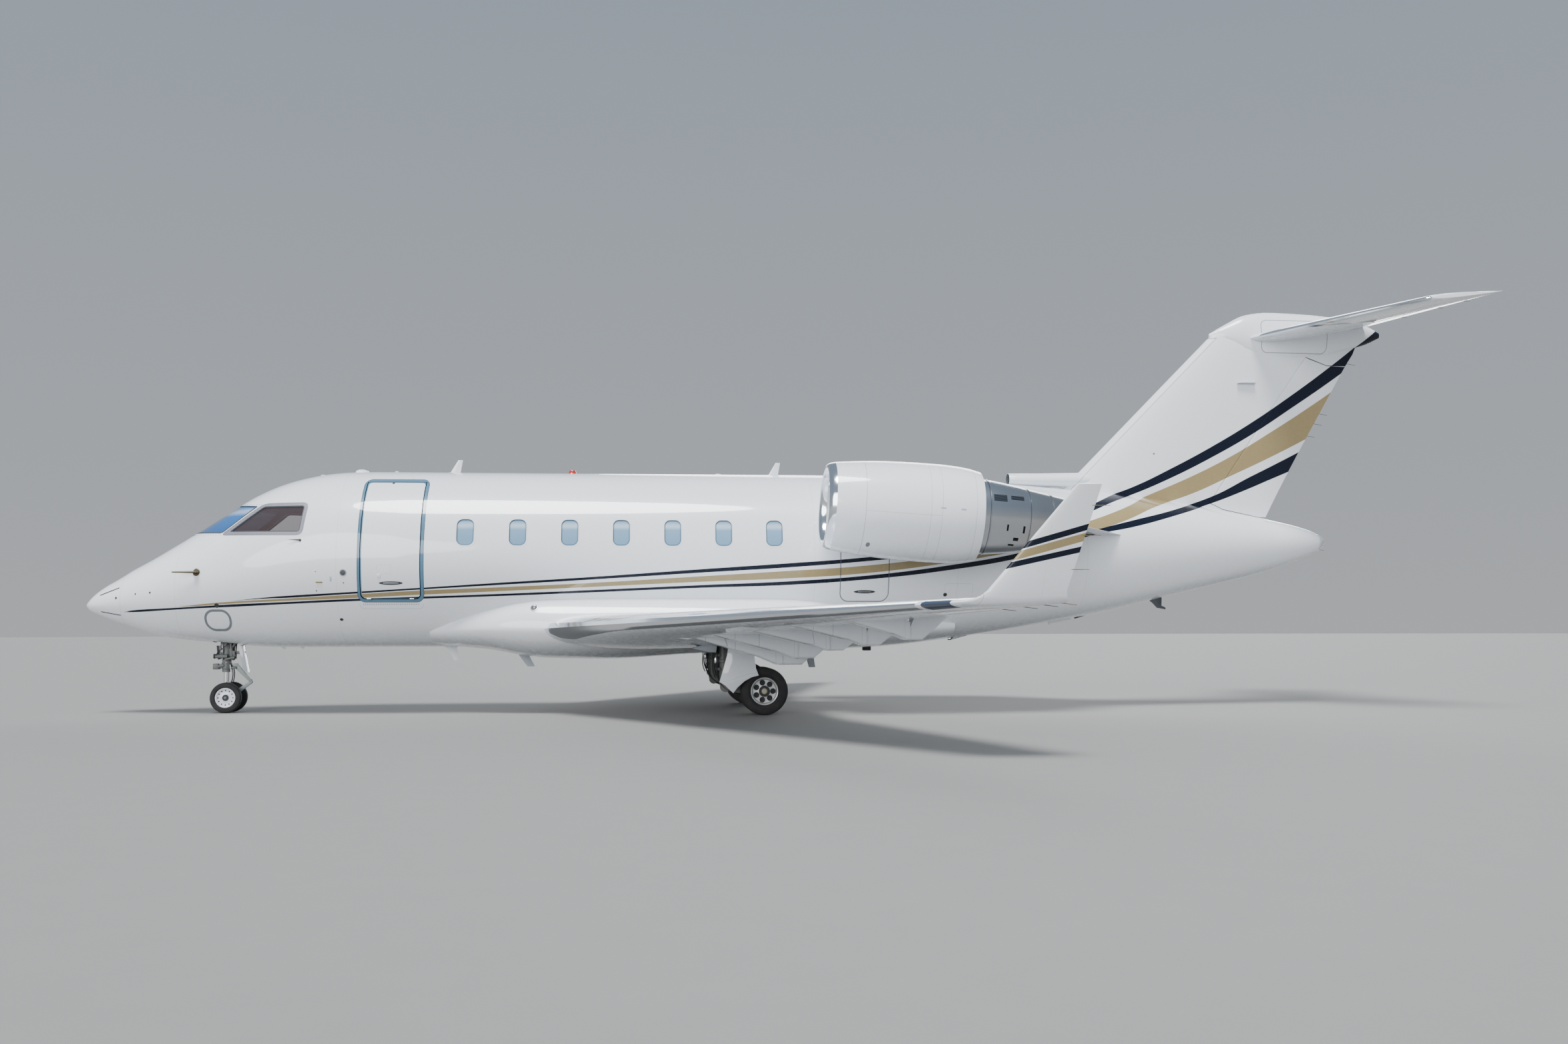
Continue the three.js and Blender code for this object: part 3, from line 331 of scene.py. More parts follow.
hullSeams = {
    "stations": [1.5, 3.9, 10.9, 13.1, 15.2],
    "outlines": [  # front, rear, foot, head, corner radius, side, half width of the line, strength
        (11.292, 12.03, 1.652, 2.48, 0.13, -1, 0.0075, 1.0),
        (8.506, 9.016, 2.13, 3.04, 0.11, 1, 0.005, 1.0),
        (1.93, 2.3, 1.245, 1.53, 0.13, -1, 0.018, 1.0),
        (1.93, 2.3, 1.245, 1.53, 0.13, 1, 0.018, 1.0),
        (12.9, 13.35, 1.62, 1.92, 0.05, -1, 0.0016, 0.5),
        (4.484, 4.686, 2.055, 2.187, 0.01, -1, 0.0016, 0.4),
    ],
    "band": (4.202, 5.154, 1.645, 3.5, 0.11),
    "sill": (4.22, 5.14, 1.55, 1.9, 0.07),
}
paneRow = {"first": 5.742, "pitch": 0.759, "count": 7, "height": 2.668, "size": (0.262, 0.402), "corner": 0.096}
leadingEdges = {  # axis along the span, and place, station and sweep there
    "wing": ("Y", 1.3, 6.846, 0.552), "tail": ("Y", 0.0, 18.198, 0.473), "fin": ("Z", 3.5, 15.13, 0.995),
}
engine = {"place": (10.93, 2.18, 3.018), "droop": 3.9, "sides": 72, "blades": 22, "vanes": 30}
nozzleMarks = [  # along the engine, up, half width, half height
    (2.6, -0.17, 0.014, 0.045), (2.85, -0.18, 0.016, 0.05), (2.75, -0.32, 0.04, 0.022), (2.7, -0.4, 0.045, 0.012),
]


def paneEdgeShade(s):  # painted shade along the rounded border of each cabin pane, which is darker there
    pitch = paneRow["pitch"]
    local = ((s.axis("X") - (paneRow["first"] - pitch / 2)) / pitch).cycle() * pitch - pitch / 2
    half, tall = [size / 2 for size in paneRow["size"]]
    return s.fromOutline(local, s.axis("Z") - paneRow["height"], half, tall, paneRow["corner"]).above(-0.02, 0.02)


def hullLines(s):
    x, z = s.axis("X"), s.axis("Z")
    lines = x.line(0.62, 0.0016) * 0.7
    lines = lines.either(x.lines(hullSeams["stations"], 0.0014) * 0.45)
    for *box, side, half, strength in hullSeams["outlines"]:
        lines = lines.either(s.fromBox(box).line(0.0, half) * s.side(side) * strength)
    sill = z.between(1.606, 1.624, 0.002) * x.between(4.27, 5.08) * s.side(-1)
    dots = (x * 38.0).cycle().between(0.3, 0.75, 0.15)
    edge = s.fromBox(hullSeams["sill"]).line(0.0, 0.003) * (1 - z.above(1.62)) * s.side(-1)
    return lines.either(sill * dots * 0.8, edge * 0.45)


def doorBand(s):  # the painted band round the entrance, and its two dark edges
    away = s.fromBox(hullSeams["band"])
    near = s.side(-1)
    return away.between(-0.06, 0.0) * near, away.line(0.0, 0.0035) * near


def behindEdge(s, name):
    axis, start, station, sweep = leadingEdges[name]
    return s.axis("X") - (station + (abs(s.axis(axis)) - start) * sweep)


def wingLines(s):
    y = abs(s.axis("Y"))
    back = behindEdge(s, "wing")
    chord = 4.03 - (y - 1.3) * 0.368
    across = ((y * 1.6).cycle() - 0.5) * 3.0
    spread = (back / chord - 0.42) * 9.0
    ovals = distance(across, spread).line(0.62, 0.012, 0.01)
    spar = (back / chord).line(0.66, 0.0007, 0.0004)
    ribs = y.lines((2.4, 3.4, 4.9, 6.35, 7.7, 9.12), 0.0014)
    return (back.line(0.11, 0.0016) * 0.8).either(spar * 0.5, ribs * 0.5, ovals * y.between(1.9, 8.7) * 0.55)


def wingEdge(s):  # bare metal, deeper and rounded off at the root
    y = abs(s.axis("Y"))
    depth = 0.1 + ((3.5 - y) / 2.0).positive().power(2.0) * 0.24
    root = ((1.86 - y) / 0.36).positive().power(2.0)
    reach = (behindEdge(s, "wing") / depth).positive().power(2.0)
    return (1 - (root + reach).above(1.0, 0.02)) * (1 - y.above(9.12))


def tailLines(s):
    y = abs(s.axis("Y"))
    return y.line(0.34, 0.002).either(y.line(1.62, 0.0016) * 0.5, behindEdge(s, "tail").line(0.09, 0.0016) * 0.7)


def tailEdge(s):
    return (1 - behindEdge(s, "tail").above(0.088)) * abs(s.axis("Y")).above(0.34)


def finLines(s):
    x, z = s.axis("X"), s.axis("Z")
    back = behindEdge(s, "fin")
    strip = back.line(0.125, 0.004) * z.between(3.42, 6.0)
    cap = z.line(6.0, 0.005) * back.between(-0.05, 0.125)
    pad = s.fromBox((18.47, 19.6, 5.76, 6.3, 0.1)).line(0.0, 0.006)
    return strip.either(cap, pad * 0.8, 1 - distance(x - 16.6, z - 4.06).above(0.016))


def engineAxes(s):  # along the nacelle, and up from its axis
    (x, _, z), droop = engine["place"], math.radians(engine["droop"])
    back, up = s.axis("X") - x, s.axis("Z") - z
    return back * math.cos(droop) - up * math.sin(droop), up + back * math.tan(droop)


def cowlLines(s):
    along, height = engineAxes(s)
    seam = height.line(-0.09, 0.0022) * along.between(0.52, 1.6)
    latches = (along * 3.4).cycle().between(0.35, 0.6, 0.03) * height.line(0.02, 0.012) * along.between(1.4, 2.1)
    drain = 1 - distance(along - 0.61, height + 0.55).above(0.03)
    rings = along.lines((1.44, 1.6, 2.1), 0.0026)
    return (along.line(0.52, 0.003) * 0.7).either(rings * 0.5, seam * 0.5, latches * 0.6, drain)


def nozzleSlots(s):
    along, height = engineAxes(s)
    grille = 0.4 + (height * 60.0).cycle().above(0.45, 0.1) * 0.6
    upper = along.between(2.38, 2.58) * height.between(0.2, 0.3)
    patches = upper.either(along.between(2.64, 2.84) * height.between(0.24, 0.3)) * grille
    marks = [along.line(place, half, 0.004) * height.line(up, tall, 0.004) for place, up, half, tall in nozzleMarks]
    return patches.either(*marks, along.line(2.94, 0.003), along.line(2.34, 0.002) * 0.6)


finish = {}
for kind, rows in (
    (gloss, {  # colour, seams, stripes, bare metal, band
        "hull": (colors["white"], hullLines, bodyStripes, None, doorBand),
        "tail": (colors["shadedWhite"], tailLines, None, tailEdge),
        "wing": (colors["shadedWhite"], wingLines, tipStripes, wingEdge),
        "fin": (colors["white"], finLines, bodyStripes),
        "cowl": (colors["white"], cowlLines),
        "white": (colors["shadedWhite"],),
        "grey": ((0.42, 0.46, 0.50),),
    }),
    (bareMetal, {  # colour, roughness, brushing, spread of the roughness, heated stations, slots
        "polished": (colors["shadedWhite"], 0.09, (1, 1, 1), 0.04),
        "nozzle": ((0.56, 0.59, 0.63), 0.17, (1, 14, 14), 0.12, (13.4, 14.9), nozzleSlots),
        "darkMetal": ((0.12, 0.13, 0.145), 0.34, (1, 6, 6)),
        "blade": ((0.36, 0.38, 0.41), 0.27, (8, 1, 1)),
        "chrome": ((0.86, 0.87, 0.88), 0.07, (1, 1, 1), 0.03),
        "trim": ((0.52, 0.55, 0.58), 0.3, (1, 1, 1), 0.1),
        "brass": ((0.33, 0.22, 0.10), 0.35),
    }),
    (dull, {  # colour, roughness, scale of the grain, dirt, its amount, depth of the grain, metallic
        "frame": ((0.26, 0.26, 0.3), 0.42, 70.0, (0.17, 0.17, 0.2), 0.3, 0.1, 0.2),
        "probe": ((0.11, 0.09, 0.05), 0.38, 60.0, (0.03, 0.03, 0.03), 0.4, 0.1, 0.5),
        "axleCap": ((0.42, 0.4, 0.3), 0.45, 60.0, (0.2, 0.18, 0.12), 0.4, 0.15, 0.2),
        # the gear paint darkened as a painted shade, for the legs under the aircraft
        "darkGear": ((0.15, 0.16, 0.155), 0.45, 60.0, (0.05, 0.05, 0.045), 0.4, 0.15),
        "gear": ((0.3, 0.35, 0.34), 0.42, 60.0, (0.12, 0.11, 0.10), 0.22, 0.1),
        "wheel": ((0.62, 0.64, 0.65), 0.36, 50.0, (0.10, 0.095, 0.09), 0.25, 0.1, 0.35),
        "tyre": ((0.014, 0.014, 0.016), 0.82, 120.0, (0.075, 0.07, 0.065), 0.25, 0.5),
        "hose": ((0.018, 0.018, 0.02), 0.6, 90.0, (0.06, 0.055, 0.05), 0.2, 0.2),
        "brake": ((0.09, 0.085, 0.08), 0.55, 50.0, (0.16, 0.09, 0.05), 0.3, 0.3, 0.7),
        "lining": ((0.62, 0.58, 0.52), 0.7, 90.0, (0.5, 0.46, 0.4), 0.2, 0.1),
        "cockpitLining": ((0.17, 0.095, 0.085), 0.7, 90.0, (0.1, 0.06, 0.055), 0.3, 0.15),
        "carpet": ((0.23, 0.20, 0.17), 0.95, 400.0, (0.16, 0.13, 0.11), 0.5, 0.8),
        "leather": ((0.56, 0.47, 0.36), 0.5, 260.0, (0.42, 0.33, 0.24), 0.3, 0.35),
        "veneer": ((0.17, 0.085, 0.04), 0.25, 12.0, (0.08, 0.035, 0.015), 0.7, 0.05),
        "panel": ((0.05, 0.055, 0.06), 0.5, 150.0, (0.09, 0.09, 0.09), 0.2, 0.2),
        "seal": ((0.045, 0.06, 0.075), 0.6, 80.0, (0.09, 0.1, 0.11), 0.2, 0.1),
        "display": ((0.012, 0.03, 0.06), 0.12, 30.0, (0.03, 0.09, 0.13), 0.6, 0.02),
    }),
    (glass, {  # low and high colour, their levels, cover, border of painted shade
        "pane": ((0.20, 0.36, 0.52), (0.30, 0.46, 0.62), (2.467, 2.869), 0.88, paneEdgeShade),
        "screen": ((0.03, 0.12, 0.34), (0.03, 0.22, 0.62), (2.66, 3.12), 0.78),
        "sidePane": ((0.16, 0.12, 0.12), (0.20, 0.17, 0.20), (2.66, 3.3), 0.16),
        "lampGlass": ((0.01, 0.02, 0.05), (0.03, 0.06, 0.13), (1.4, 1.6), 0.9),
        "lampRed": ((0.45, 0.01, 0.01), (0.6, 0.03, 0.02), (0.0, 6.5), 0.92),
        "lampClear": ((0.55, 0.6, 0.64), (0.7, 0.75, 0.78), (0.0, 6.5), 0.7),
    }),
):
    for name, row in rows.items():
        finish[name] = kind(name, *row)
print("finishes:", len(finish))

# Shapes

corners = bmesh.types.BMVert
borders = bmesh.types.BMEdge


def only(made, kind):
    return [item for item in made if isinstance(item, kind)]


def linked(name, data):
    made = bpy.data.objects.new(name, data)
    bpy.context.collection.objects.link(made)
    return made


def baked(holder):  # the shape that an object's modifiers leave; the object itself goes
    shape = bmesh.new()
    shape.from_mesh(bpy.data.meshes.new_from_object(holder.evaluated_get(bpy.context.evaluated_depsgraph_get())))
    bpy.data.objects.remove(holder)
    return shape


def softened(shape, edges, width, segments=2):
    if width:
        bmesh.ops.bevel(
            shape, geom=edges, offset=width, offset_type="OFFSET", segments=segments,
            affect="EDGES", profile=0.5, material=-1, clamp_overlap=True,
        )
    return shape


def cuboid(size):
    shape = bmesh.new()
    bmesh.ops.create_cube(shape, size=1.0)
    bmesh.ops.scale(shape, vec=size, verts=shape.verts)
    return shape


def block(low, high, edge=0.0):
    low, high = Vector(low), Vector(high)
    shape = cuboid(high - low)
    bmesh.ops.translate(shape, vec=(high + low) / 2, verts=shape.verts)
    return softened(shape, shape.edges[:], edge)


def slab(points, across, low, high, corner=0.0, edge=0.0, steps=4):
    turns = {"x": lambda a, b, c: (c, a, b), "y": lambda a, b, c: (a, c, b), "z": lambda a, b, c: (a, b, c)}
    place = turns[across]
    shape = bmesh.new()
    face = shape.faces.new([shape.verts.new(place(a, b, low)) for a, b in points])
    made = bmesh.ops.extrude_face_region(shape, geom=[face])["geom"]
    bmesh.ops.translate(shape, vec=place(0, 0, high - low), verts=only(made, corners))
    direction = Vector(place(0, 0, 1))
    if corner:
        upright = [e for e in shape.edges if abs((e.verts[1].co - e.verts[0].co).normalized().dot(direction)) > 0.99]
        softened(shape, upright, corner, steps)
    bmesh.ops.recalc_face_normals(shape, faces=shape.faces)
    if edge:
        rims = [e for e in shape.edges if any(abs(f.normal.dot(direction)) > 0.9 for f in e.link_faces)]
        softened(shape, rims, edge)
    return shape


def plate(points, low, high, edge=0.0, corner=0.0):  # an outline seen from the side
    return slab(points, "y", low, high, corner, edge)


def rectangle(x0, x1, z0, z1):
    return [(x0, z0), (x1, z0), (x1, z1), (x0, z1)]


def spindle(start, end, profile, sides=24):  # pairs of radius and share of the way
    start, end = Vector(start), Vector(end)
    length = (end - start).length
    shape = bmesh.new()
    line = [shape.verts.new((0.0, radius, share * length)) for radius, share in profile]
    edges = [shape.edges.new(pair) for pair in zip(line, line[1:])]
    bmesh.ops.spin(
        shape, geom=line + edges, axis=(0, 0, 1), cent=(0, 0, 0), angle=math.tau, steps=sides, use_merge=True,
    )
    bmesh.ops.remove_doubles(shape, verts=shape.verts, dist=1e-5)
    turn = Vector((0, 0, 1)).rotation_difference((end - start).normalized()).to_matrix().to_4x4()
    bmesh.ops.transform(shape, matrix=Matrix.Translation(start) @ turn, verts=shape.verts)
    return shape


def pin(start, end, radius, sides):  # plain, with square ends
    return spindle(start, end, [(0, 0), (radius, 0), (radius, 1), (0, 1)], sides)


def rod(start, end, radius, other=None, sides=20, edge=0.06):
    other = radius if other is None else other
    length = (Vector(end) - Vector(start)).length
    inset = min(edge * radius / length, 0.2)
    profile = [(0, 0), (radius * 0.92, 0), (radius, inset), (other, 1 - inset), (other * 0.92, 1), (0, 1)]
    return spindle(start, end, profile, sides)


def turned(profile, axis="x", sides=48, closed=True):  # pairs of radius and place along the axis
    ring = [*profile, profile[0]] if closed else profile
    end = {"x": (1, 0, 0), "y": (0, 1, 0), "z": (0, 0, 1)}[axis]
    return spindle((0, 0, 0), end, ring, sides)


def tube(inner, outer, start, end, axis="z", sides=32):
    return turned([(inner, start), (outer, start), (outer, end), (inner, end)], axis, sides)


def hose(points, radius):
    line = bpy.data.curves.new("hose", "CURVE")
    line.dimensions = "3D"
    line.bevel_depth = radius
    line.bevel_resolution = 3
    line.use_fill_caps = True
    line.resolution_u = 8
    spline = line.splines.new("NURBS")
    spline.points.add(len(points) - 1)
    for point, place in zip(spline.points, points):
        point.co = (*place, 1)
    spline.use_endpoint_u = True
    spline.order_u = 4
    return baked(linked("hose", line))


def skinned(rings, finishes=None, closed=False):  # a skin drawn out from ring to ring
    shape = bmesh.new()
    loop = bmesh.ops.create_circle(shape, segments=len(rings[0]), radius=1.0)["verts"]
    order = {vert: k for k, vert in enumerate(loop)}
    for vert, k in order.items():
        vert.co = rings[0][k]
    first = edges = shape.edges[:]
    every = [*rings[1:], rings[0]] if closed else rings[1:]
    for number, ring in enumerate(every):
        made = bmesh.ops.extrude_edge_only(shape, edges=edges)["geom"]
        fresh = {}
        for vert in only(made, corners):
            source = next(e.other_vert(vert) for e in vert.link_edges if e.other_vert(vert) in order)
            fresh[vert] = order[source]
        for vert, k in fresh.items():
            vert.co = ring[k]
        if finishes:
            for face in only(made, bmesh.types.BMFace):
                face.material_index = finishes[number]
        edges = [e for e in only(made, borders) if e.verts[0] in fresh and e.verts[1] in fresh]
        order = fresh
    if closed:
        bmesh.ops.remove_doubles(shape, verts=shape.verts, dist=1e-6)
    else:
        bmesh.ops.contextual_create(shape, geom=first)
        bmesh.ops.contextual_create(shape, geom=edges)
    bmesh.ops.recalc_face_normals(shape, faces=shape.faces)
    return shape


def passing(shape):  # an object for a modifier to work on
    mesh = bpy.data.meshes.new("passing")
    shape.to_mesh(mesh)
    shape.free()
    for _ in range(6):  # room for the finishes of its faces
        mesh.materials.append(None)
    return linked("passing", mesh)


def carved(shape, cutter, operation="DIFFERENCE", rim=None):
    bmesh.ops.recalc_face_normals(cutter, faces=cutter.faces)
    if rim is not None:
        tinted(cutter, rim)
    base, tool = passing(shape), passing(cutter)
    change = base.modifiers.new("carve", "BOOLEAN")
    change.operation = operation
    change.solver = "EXACT"
    change.object = tool
    result = baked(base)
    bpy.data.objects.remove(tool)
    return result


def common(shape, other, rim=None):
    return carved(shape, other, "INTERSECT", rim)


def together(*shapes):
    whole = bmesh.new()
    for shape in shapes:
        mesh = bpy.data.meshes.new("passing")
        shape.to_mesh(mesh)
        shape.free()
        whole.from_mesh(mesh)
        bpy.data.meshes.remove(mesh)
    return whole


def moved(shape, matrix):
    bmesh.ops.transform(shape, matrix=matrix, verts=shape.verts)
    return shape


def shifted(shape, x=0.0, y=0.0, z=0.0):
    return moved(shape, Matrix.Translation((x, y, z)))


def flipped(shape, way):
    bmesh.ops.scale(shape, vec=way, verts=shape.verts)
    bmesh.ops.reverse_faces(shape, faces=shape.faces)
    return shape


def mirrored(shape):
    return flipped(shape.copy(), (1, -1, 1))


def repeated(shape, count, axis):  # copies round an axis
    every = shape.verts[:] + shape.edges[:] + shape.faces[:]
    angle = math.tau * (count - 1) / count
    bmesh.ops.spin(shape, geom=every, use_duplicate=True, cent=(0, 0, 0), axis=axis, angle=angle, steps=count - 1)
    return shape


def tinted(shape, number):
    for face in shape.faces:
        face.material_index = number
    return shape


def drawn(maker, *rows):  # each row: the number of its finish, then what the maker takes
    return [tinted(maker(*values), number) for number, *values in rows]


def piece(name, body, nodes, slot, finishes, shape, sharp=32):
    bmesh.ops.remove_doubles(shape, verts=shape.verts, dist=2e-6)
    bmesh.ops.recalc_face_normals(shape, faces=shape.faces)
    bmesh.ops.translate(shape, vec=(-midpoint, 0, 0), verts=shape.verts)
    mesh = bpy.data.meshes.new(name)
    shape.to_mesh(mesh)
    shape.free()
    for key in finishes:
        mesh.materials.append(finish[key])
    mesh.shade_smooth()
    mesh.set_sharp_from_angle(angle=math.radians(sharp))
    made = linked(name, mesh)
    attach(made, body)
    if nodes:
        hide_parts(*nodes)
    return made


def pair(name, body, nodes, slot, finishes, shape, sharp=32):  # starboard as drawn, and its mirror to port
    other = mirrored(shape)
    for word, half in (("right", shape), ("left", other)):
        side = [node.replace("*", word) for node in nodes]
        piece(name + word.capitalize(), body.replace("*", word), side, slot, finishes, half, sharp)


def tableAt(rows, place):  # smooth value of each column, which never overshoots its rows
    last = len(rows) - 1
    at = min(max(place, rows[0][0]), rows[last][0])
    i = 0
    while i < last - 1 and rows[i + 1][0] < at:
        i += 1

    def slope(k, c):
        return (rows[k + 1][c] - rows[k][c]) / (rows[k + 1][0] - rows[k][0])

    def tangent(k, c):
        if k in (0, last):
            return slope(min(k, last - 1), c)
        before, after = slope(k - 1, c), slope(k, c)
        return 0.0 if before * after <= 0 else 2 * before * after / (before + after)

    width = rows[i + 1][0] - rows[i][0]
    t = (at - rows[i][0]) / width
    rise = t * t * (3 - 2 * t)
    return [
        rows[i][c] * (1 - rise) + rows[i + 1][c] * rise
        + (1 - t) ** 2 * t * width * tangent(i, c) + (t - 1) * t * t * width * tangent(i + 1, c)
        for c in range(1, len(rows[0]))
    ]


def blend(first, second, part, parts=1):
    return [a + (b - a) * part / parts for a, b in zip(first, second)]


def spaced(start, end, step):
    count = max(1, math.ceil((end - start) / step))
    return [start + (end - start) * k / count for k in range(count + 1)]


def circle(sides):
    return [math.tau * k / sides for k in range(sides)]


def sectionRing(rows, place, grow=0.0, sides=64):
    top, bottom, half, widest = tableAt(rows, place)
    ring = []
    for turn in circle(sides):
        reach = top - widest if math.cos(turn) > 0 else widest - bottom
        ring.append(Vector((place, (half + grow) * math.sin(turn), widest + (reach + grow) * math.cos(turn))))
    return ring


# Fuselage

hullSections = [  # station, top, bottom, half width, height of the greatest width
    (0.0, 1.648, 1.592, 0.028, 1.62), (0.06, 1.718, 1.534, 0.112, 1.624), (0.15, 1.806, 1.492, 0.19, 1.632),
    (0.3, 1.914, 1.43, 0.29, 1.65), (0.48, 2.02, 1.36, 0.385, 1.68), (0.72, 2.172, 1.284, 0.5, 1.725),
    (0.98, 2.318, 1.2, 0.612, 1.775), (1.28, 2.502, 1.128, 0.722, 1.838), (1.572, 2.687, 1.088, 0.812, 1.905),
    (1.9, 2.908, 1.056, 0.902, 1.985), (2.211, 3.108, 1.026, 0.982, 2.06), (2.5, 3.29, 1.0, 1.052, 2.13),
    (2.897, 3.47, 0.984, 1.135, 2.21), (3.224, 3.566, 0.982, 1.192, 2.262), (3.552, 3.63, 0.982, 1.244, 2.298),
    (3.9, 3.662, 0.982, 1.288, 2.318), (4.3, 3.671, 0.982, 1.322, 2.326), (4.9, 3.672, 0.982, 1.345, 2.327),
    (10.9, 3.672, 0.982, 1.345, 2.327), (11.5, 3.668, 0.984, 1.342, 2.329), (12.5, 3.645, 1.01, 1.315, 2.345),
    (13.59, 3.595, 1.14, 1.235, 2.385), (14.244, 3.553, 1.235, 1.165, 2.42), (14.903, 3.505, 1.345, 1.08, 2.46),
    (15.511, 3.455, 1.455, 0.99, 2.495), (16.2, 3.385, 1.605, 0.88, 2.535), (16.817, 3.305, 1.755, 0.77, 2.565),
    (17.572, 3.19, 1.935, 0.63, 2.595), (18.266, 3.062, 2.1, 0.482, 2.615), (18.836, 2.945, 2.268, 0.34, 2.63),
    (19.2, 2.85, 2.405, 0.222, 2.638), (19.4, 2.762, 2.505, 0.13, 2.64), (19.51, 2.672, 2.608, 0.034, 2.64),
]
fairingSections = [
    (5.18, 1.5, 1.01, 0.76, 1.25), (5.6, 1.72, 0.975, 0.985, 1.26), (6.0, 1.86, 0.938, 1.17, 1.265),
    (6.5, 1.985, 0.846, 1.33, 1.262), (6.93, 2.02, 0.8, 1.405, 1.255), (7.8, 2.025, 0.786, 1.44, 1.25),
    (9.13, 2.025, 0.858, 1.44, 1.25), (10.4, 2.02, 0.9, 1.43, 1.25), (11.16, 1.94, 0.918, 1.37, 1.25),
    (11.87, 1.8, 0.947, 1.2, 1.25), (12.5, 1.65, 0.998, 1.0, 1.26), (13.15, 1.45, 1.085, 0.76, 1.28),
]
hull = {"wall": 0.085, "sides": 72, "step": 0.125, "joints": (0.48, 1.5, 3.9, 10.9, 15.2, 19.2), "clear": 1.5}
cockpitGlass = {  # outline, corner radius
    "screen": ([(1.48, 2.696), (2.15, 2.668), (2.65, 3.082), (2.18, 3.124), (1.48, 3.124)], 0.035),
    "side": ([(2.238, 2.676), (3.352, 2.664), (3.392, 3.082), (2.745, 3.08)], 0.05),
}
post = {"half": 0.013, "side": 0.3}  # nearest that the panes come to the middle
layers = {  # stations of a skin, and its outer and inner face from the hull's
    "cabinPane": (5.5, 10.6, -0.016, -0.026), "cabinLip": (5.5, 10.6, 0.0022, -0.014),
    "cockpitPane": (1.45, 3.5, -0.008, -0.026), "ring": (1.42, 3.5, 0.0025, -0.02), "seal": (1.42, 3.5, -0.002, -0.02),
}
screws = {"pitch": 0.042, "radius": 0.0048, "inset": 0.026, "clear": 0.06}
entrance = {
    "front": 4.248, "rear": 5.096, "sill": 1.7, "head": 3.45, "slope": 0.36, "hinge": (-1.196, 1.694), "gap": 0.012,
}
treads = {
    "count": 5, "foot": 1.86, "rise": 0.29, "reach": 0.235, "thick": 0.034, "slope": math.radians(30),
    "radius": 1.255, "middle": 2.327, "span": (4.33, 5.014), "strip": (4.34, 5.0),
}


def hullRings(places, grow=0.0):
    return [sectionRing(hullSections, at, grow, hull["sides"]) for at in places]


def solidHull(start, end, grow=0.0, step=hull["step"]):
    return skinned(hullRings(spaced(start, end, step), grow))


def hullShell(start, end, outer=0.0, inner=-hull["wall"]):
    places = spaced(start, end, hull["step"])
    steps = len(places) - 1
    numbers = [0] * steps + [2] + [1] * steps + [2]
    return skinned(hullRings(places, outer) + hullRings(places[::-1], inner), numbers, closed=True)


def hullSide(place, height, rows=hullSections):  # half width at a height
    top, bottom, half, widest = tableAt(rows, place)
    reach = top - widest if height > widest else widest - bottom
    return half * math.sqrt(max(0.0, 1 - ((height - widest) / reach) ** 2))


def onSkin(shape, x, z, rows=hullSections):  # drawn flat, x aft and y up, then laid on the port skin
    def spot(dx, dz):
        return Vector((x + dx, -hullSide(x + dx, z + dz, rows), z + dz))

    aft = (spot(0.01, 0) - spot(-0.01, 0)).normalized()
    out = aft.cross((spot(0, 0.01) - spot(0, -0.01)).normalized()).normalized()
    turn = Matrix((aft, out.cross(aft), out)).transposed().to_4x4()
    return moved(shape, Matrix.Translation(spot(0, 0)) @ turn)


def button(radius, height, wide=1.0, sides=28):  # a low round boss
    foot = -0.006
    profile = [(0, foot), (radius, foot), (radius, height * 0.6), (radius * 0.88, height), (0, height)]
    shape = turned(profile, "z", sides, False)
    bmesh.ops.scale(shape, vec=(wide, 1, 1), verts=shape.verts)
    return shape


def grown(points, by):  # an outline moved outwards
    middle = Vector((sum(p[0] for p in points), sum(p[1] for p in points))) / len(points)
    made = []
    for k, point in enumerate(points):
        here = Vector(point)
        before = (here - Vector(points[k - 1])).normalized()
        after = (Vector(points[(k + 1) % len(points)]) - here).normalized()
        way = before - after
        step = way / max(abs(before.cross(after)), 0.2) * by
        made.append(tuple(here + (step if (here - middle).dot(way) > 0 else -step)))
    return made


def windowCutters(grow, low=-hull["clear"], high=hull["clear"]):
    w = paneRow
    half, tall = [size / 2 + grow for size in w["size"]]
    shapes = []
    for k in range(w["count"]):
        x = w["first"] + k * w["pitch"]
        outline = rectangle(x - half, x + half, w["height"] - tall, w["height"] + tall)
        shapes.append(slab(outline, "y", low, high, corner=w["corner"] + grow, steps=6))
    return together(*shapes)


def cockpitCutter(name, grow):
    points, corner = cockpitGlass[name]
    near = post["half"] - grow if name == "screen" else post["side"]
    spans = ((near, hull["clear"]), (-hull["clear"], -near))
    return together(*[plate(grown(points, grow), *span, corner=corner + max(grow, -0.03)) for span in spans])


def entranceCutter(grow):
    e = entrance
    foot, ends = e["sill"] - grow, (e["front"] - grow, e["rear"] + grow)
    near, far = -0.3, -2.0
    low, high = [e["head"] + grow - (y + 0.74) * e["slope"] for y in (near, far)]
    wedge = slab([(far, foot), (near, foot), (near, low), (far, high)], "x", *ends)
    return common(wedge, slab(rectangle(*ends, foot, 4.6), "y", far - 0.1, near + 0.1, corner=0.075, steps=5))


noseEnd, cockpitFront, cabinFront, cabinRear, rearEnd, coneEnd = hull["joints"]
radome = hullRings([noseEnd * (k / 14) ** 1.6 for k in range(15)])
piece("radome", "airframe", ["radome"], "white_paint", ["hull"], skinned(radome), 50)
nose = solidHull(noseEnd, cockpitFront, step=0.06)
piece("noseSkin", "airframe", ["nose_section"], "white_paint", ["hull"], nose)

